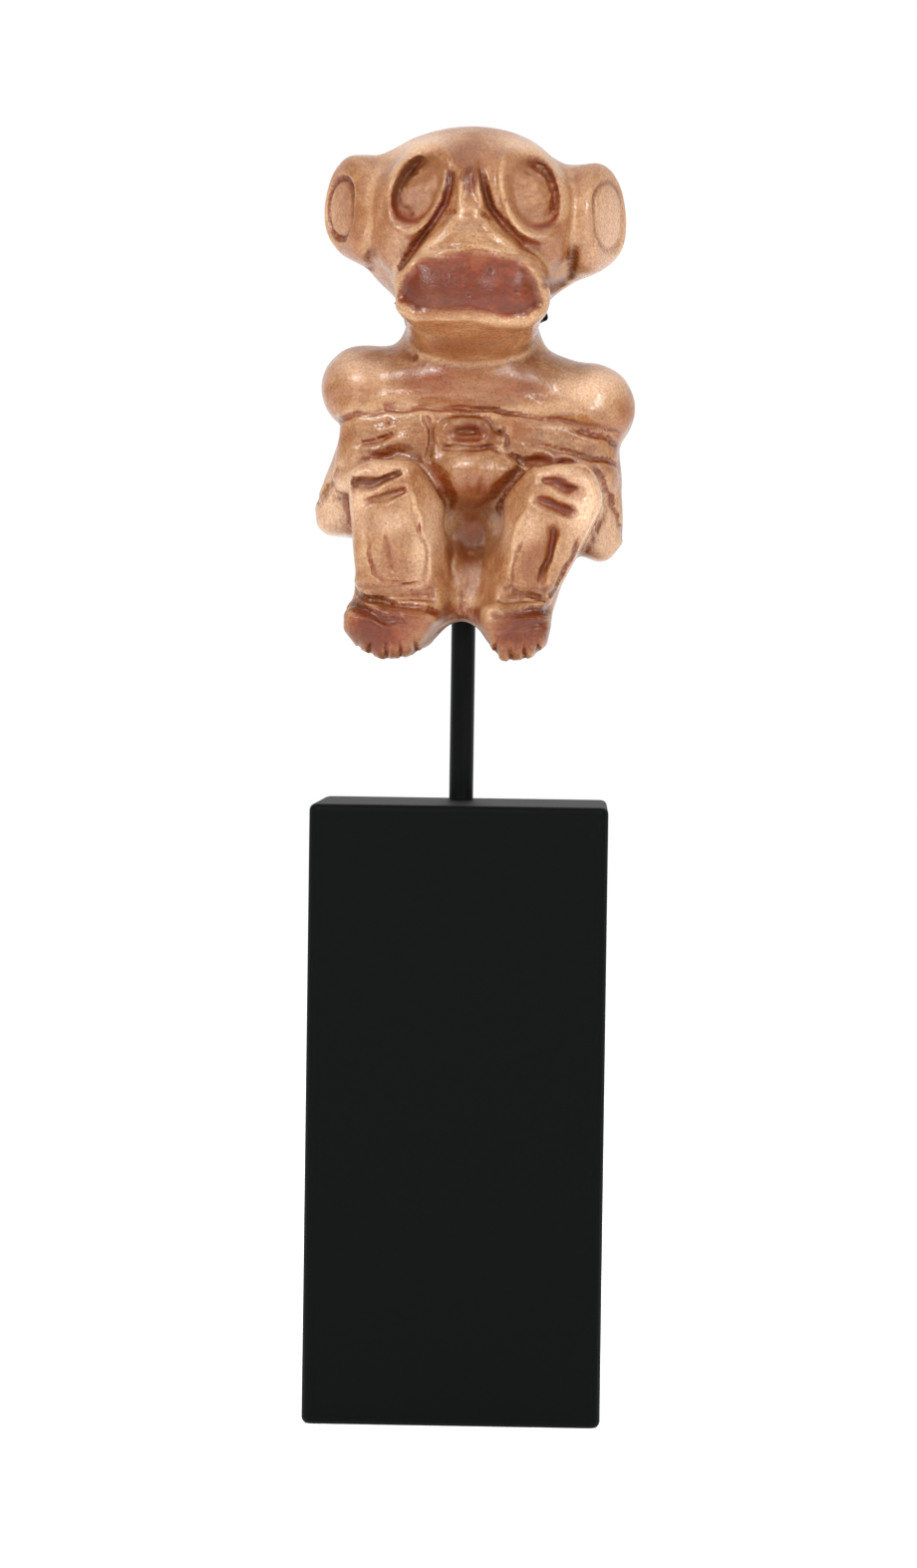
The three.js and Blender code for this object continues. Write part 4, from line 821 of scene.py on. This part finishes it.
# Earth lies in the hollows and the cuts, thinner along the streaks, and has stained patches unevenly. The
# same marks carry painted shade on the outer walls of the eyes and on the neck under the chin.
in_hollows = node(
    bone, "ShaderNodeMapRange",
    {"Value": mark["hollow"], "From Min": 0.12, "From Max": 0.55, "To Max": 0.75},
    interpolation_type="SMOOTHSTEP",
)
in_cuts = node(bone, "ShaderNodeMath", {0: in_hollows, 1: mark["cut_earth_and_shade"]}, operation="MAXIMUM")
streaky = node(
    bone, "ShaderNodeMapRange",
    {"Value": streaks, "From Min": 0.38, "From Max": 0.6, "To Min": 0.72, "To Max": 1.1},
    interpolation_type="SMOOTHSTEP",
)
packed_and_shaded = node(bone, "ShaderNodeMath", {0: in_cuts, 1: streaky}, operation="MULTIPLY")
patches = node(bone, "ShaderNodeMix", {"Factor": 0.35, "A": mottle, "B": streaks})
patchy = node(
    bone, "ShaderNodeMapRange",
    {"Value": patches, "From Min": 0.38, "From Max": 0.62, "To Min": 0.72, "To Max": 1.12},
    interpolation_type="SMOOTHSTEP",
)
blotted_and_shaded = node(bone, "ShaderNodeMath", {0: mark["stain_and_shade"], 1: patchy}, operation="MULTIPLY")
earth_and_shade_held = node(bone, "ShaderNodeMath", {0: packed_and_shaded, 1: blotted_and_shaded}, operation="MAXIMUM")

# The earth's own colour drifts between two browns, and the painted shade takes it too
drift = node(
    bone, "ShaderNodeMapRange", {"Value": cloud, "From Min": 0.42, "From Max": 0.6},
    interpolation_type="SMOOTHSTEP",
)
earth_and_shade_brown = node(
    bone, "ShaderNodeMix", {"Factor": drift, "A": linear("#742e04"), "B": linear("#663008")},
    data_type="RGBA",
)

# Coats of colour from the ground up: what each follows, from where to where on that, how strong it is at
# those two ends, and its colour. First the bone, with painted light tinting faces by how they turn to the
# lamps, then what wear has bared together with more painted light, then the earth, which also carries painted
# shade.
coats = [
    (cloud, 0.38, 0.62, 0, 1, linear("#8a5b3a")),
    # Painted light: faces turned aside from the lamps take an orange tint
    (mark["lit_faces"], 0, 1, 0.75, 0, linear("#a16a42")),
    (mottle, 0.45, 0.68, 0, 0.6, linear("#ad8662")),
    (mottle, 0.5, 0.3, 0, 0.45, linear("#7a4c2b")),
    (streaks, 0.55, 0.38, 0, 0.4, linear("#7a4c2b")),
    (mark["ridge"], 0.12, 0.4, 0, 0.6, linear("#b99672")),
    # Wear, with painted light on the elbows, shoulders and ears
    (mark["worn_and_lit"], 0.05, 1, 0, 0.85, linear("#d3b397")),
    # Earth, with the painted shade in the eyes and under the chin
    (earth_and_shade_held, 0.05, 0.9, 0, 1, earth_and_shade_brown),
    (earth_and_shade_held, 0.75, 1.1, 0, 0.7, linear("#561d03")),
]
colour = linear("#967050")
for follows, start, end, at_start, at_end, shade in coats:
    strength = node(
        bone, "ShaderNodeMapRange",
        {"Value": follows, "From Min": start, "From Max": end, "To Min": at_start, "To Max": at_end},
        interpolation_type="SMOOTHSTEP",
    )
    colour = node(bone, "ShaderNodeMix", {"Factor": strength, "A": colour, "B": shade}, data_type="RGBA")

# Dark flecks, more of them where there is earth and painted shade, and a fine stipple over all
flecked = node(
    bone, "ShaderNodeMapRange", {"Value": specks, "From Min": 0.6, "From Max": 0.7},
    interpolation_type="SMOOTHSTEP",
)
in_earth_and_shade = node(
    bone, "ShaderNodeMapRange",
    {"Value": earth_and_shade_held, "From Min": 0.1, "From Max": 0.7, "To Min": 0.42, "To Max": 0.95},
    interpolation_type="SMOOTHSTEP",
)
flecks = node(bone, "ShaderNodeMath", {0: flecked, 1: in_earth_and_shade}, operation="MULTIPLY")
colour = node(
    bone, "ShaderNodeMix", {"Factor": flecks, "A": colour, "B": linear("#4a2610")},
    data_type="RGBA",
)
# What the stipple multiplies the colour by, from its dark dots to the bone between them
DOTTED, BETWEEN_DOTS = linear("#e6dace"), (1.03, 1.03, 1.02, 1.0)
dots = node(
    bone, "ShaderNodeMapRange", {"Value": pores, "From Min": 0.34, "From Max": 0.66},
    interpolation_type="SMOOTHSTEP",
)
stipple = node(bone, "ShaderNodeMix", {"Factor": dots, "A": DOTTED, "B": BETWEEN_DOTS}, data_type="RGBA")
colour = node(
    bone, "ShaderNodeMix", {"Factor": 1.0, "A": colour, "B": stipple},
    data_type="RGBA", blend_type="MULTIPLY",
)

# Pores and flecks are sunk a little. Depth in millimetres.
PORE_DEPTH = 0.06
open_pores = node(
    bone, "ShaderNodeMapRange", {"Value": pores, "From Min": 0.35, "From Max": 0.6, "To Max": 0.5},
    interpolation_type="SMOOTHSTEP",
)
sunk_specks = node(
    bone, "ShaderNodeMapRange", {"Value": specks, "From Min": 0.72, "From Max": 0.6, "To Max": 0.5},
    interpolation_type="SMOOTHSTEP",
)
bumps = node(bone, "ShaderNodeMath", {0: open_pores, 1: sunk_specks}, operation="ADD")
relief = node(bone, "ShaderNodeBump", {"Height": bumps, "Strength": 0.5, "Distance": PORE_DEPTH * MM})

# Polished where hands reach, duller with earth and painted shade, and in the eyes, the mouth and between the
# legs
polish = node(
    bone, "ShaderNodeMapRange", {"Value": earth_and_shade_held, "From Max": 0.8, "To Min": 0.15, "To Max": 0.25},
    interpolation_type="SMOOTHSTEP",
)
unpolished = node(
    bone, "ShaderNodeMapRange", {"Value": mark["dry"], "To Max": 0.3},
    interpolation_type="SMOOTHSTEP",
)
dull = node(bone, "ShaderNodeMath", {0: polish, 1: unpolished}, operation="ADD")
skin = node(
    bone, "ShaderNodeBsdfPrincipled",
    {
        "Base Color": colour, "Roughness": dull, "Normal": relief,
        "IOR": 1.54, "Specular IOR Level": 0.38,
        "Subsurface Weight": 0.1, "Subsurface Radius": (1.0, 0.5, 0.3), "Subsurface Scale": 0.8 * MM,
    },
)
node(bone, "ShaderNodeOutputMaterial", {"Surface": skin})
amulet.data.materials.append(bone)
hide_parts("amulet")
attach(amulet, "root")

# Rod and yoke. A length of eighth-inch steel rod with two soft wires brazed to its top and bent round the
# neck by hand, sprayed satin black after fitting. The paint leaves only a dim, even sheen along the rod.
steel_paint = new_material("satin black paint on steel")
paint = node(
    steel_paint, "ShaderNodeBsdfPrincipled",
    {"Base Color": linear("#101112"), "Roughness": 0.32, "IOR": 1.5, "Specular IOR Level": 0.08},
)
node(steel_paint, "ShaderNodeOutputMaterial", {"Surface": paint})
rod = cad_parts["mount_rod"]
rod.data.materials.clear()
rod.data.materials.append(steel_paint)

# Block. Close-grained wood, sanded and sprayed satin black, its edges just broken and the hole for the rod
# drilled near the back. The paint fills the grain, so the faces look flat and nearly without sheen.
wood_paint = new_material("satin black paint on wood")
black = node(
    wood_paint, "ShaderNodeBsdfPrincipled",
    {"Base Color": linear("#060707"), "Roughness": 0.5, "IOR": 1.5, "Specular IOR Level": 0.05},
)
node(wood_paint, "ShaderNodeOutputMaterial", {"Surface": black})
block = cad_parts["base_block"]
block.data.materials.clear()
block.data.materials.append(wood_paint)

# Floor: plain and pale, with a little glow of its own so that it meets the white wall without a line in front
FLOOR_HALF = 3
floor_mesh = bpy.data.meshes.new("floor")
corners = [(-FLOOR_HALF, -FLOOR_HALF, 0), (FLOOR_HALF, -FLOOR_HALF, 0),
           (FLOOR_HALF, FLOOR_HALF, 0), (-FLOOR_HALF, FLOOR_HALF, 0)]
floor_mesh.from_pydata(corners, [], [(0, 1, 2, 3)])
floor = bpy.data.objects.new("floor", floor_mesh)
bpy.context.scene.collection.objects.link(floor)
WHITE = linear("#ffffff")
pale = new_material("pale floor")
plain_white = node(
    pale, "ShaderNodeBsdfPrincipled",
    {"Base Color": WHITE, "Roughness": 1.0, "Emission Color": WHITE, "Emission Strength": 0.5},
)
node(pale, "ShaderNodeOutputMaterial", {"Surface": plain_white})
floor_mesh.materials.append(pale)

# Light: a white wall behind, a dimmer room in front, a wide soft box overhead and two smaller ones by the
# camera. ROOM and WALL are how bright the surroundings are in front and behind.
ROOM, WALL = 0.17, 1.02
world = bpy.data.worlds.new("studio")
bpy.context.scene.world = world
world.use_nodes = True
world.node_tree.nodes.clear()
way = node(world, "ShaderNodeTexCoord").outputs["Generated"]
backward = node(world, "ShaderNodeSeparateXYZ", {"Vector": way}).outputs["Y"]
brightness = node(
    world, "ShaderNodeMapRange",
    {"Value": backward, "From Min": -0.1, "From Max": 0.6, "To Min": ROOM, "To Max": WALL},
)
surroundings = node(world, "ShaderNodeBackground", {"Color": WHITE, "Strength": brightness})
node(world, "ShaderNodeOutputWorld", {"Surface": surroundings})
# Each soft box: where it hangs, its side in metres and its power in watts. All face the amulet.
AIM = Vector((0, 0, 0.13))
for name, spot, size, power in (
    ("soft box overhead", (0, -0.25, 1.2), 1.3, 7.0),
    ("soft box left", (-0.35, -0.6, 0.5), 0.2, 4.6),
    ("soft box right", (0.4, -0.6, 0.45), 0.2, 3.5),
):
    lamp = bpy.data.lights.new(name, "AREA")
    lamp.size = size
    lamp.energy = power
    holder = bpy.data.objects.new(name, lamp)
    holder.location = spot
    holder.rotation_euler = (AIM - Vector(spot)).to_track_quat("-Z", "Y").to_euler()
    bpy.context.scene.collection.objects.link(holder)

# Camera: level with the gap under the figure's feet and a little to the right, a long lens. The focal length
# is in pixels of a picture this high.
IMAGE_HEIGHT = 1573
FOCAL_PIXELS = 5056
SENSOR = 36
CAMERA = Vector((15, -659, 97.6)) * MM
TARGET = Vector((-0.064, -19, 81.97)) * MM
ROLL = math.radians(0.8)
lens = bpy.data.cameras.new("photo camera")
lens.sensor_width = SENSOR
lens.lens = FOCAL_PIXELS * SENSOR / IMAGE_HEIGHT
lens.clip_start = 0.02
lens.clip_end = 30
camera = bpy.data.objects.new("photo camera", lens)
bpy.context.scene.collection.objects.link(camera)
looking = (TARGET - CAMERA).to_track_quat("-Z", "Y").to_matrix().to_4x4()
camera.matrix_world = Matrix.Translation(CAMERA) @ looking @ Matrix.Rotation(ROLL, 4, "Z")
bpy.context.scene.camera = camera
bpy.context.scene.view_settings.view_transform = "Standard"
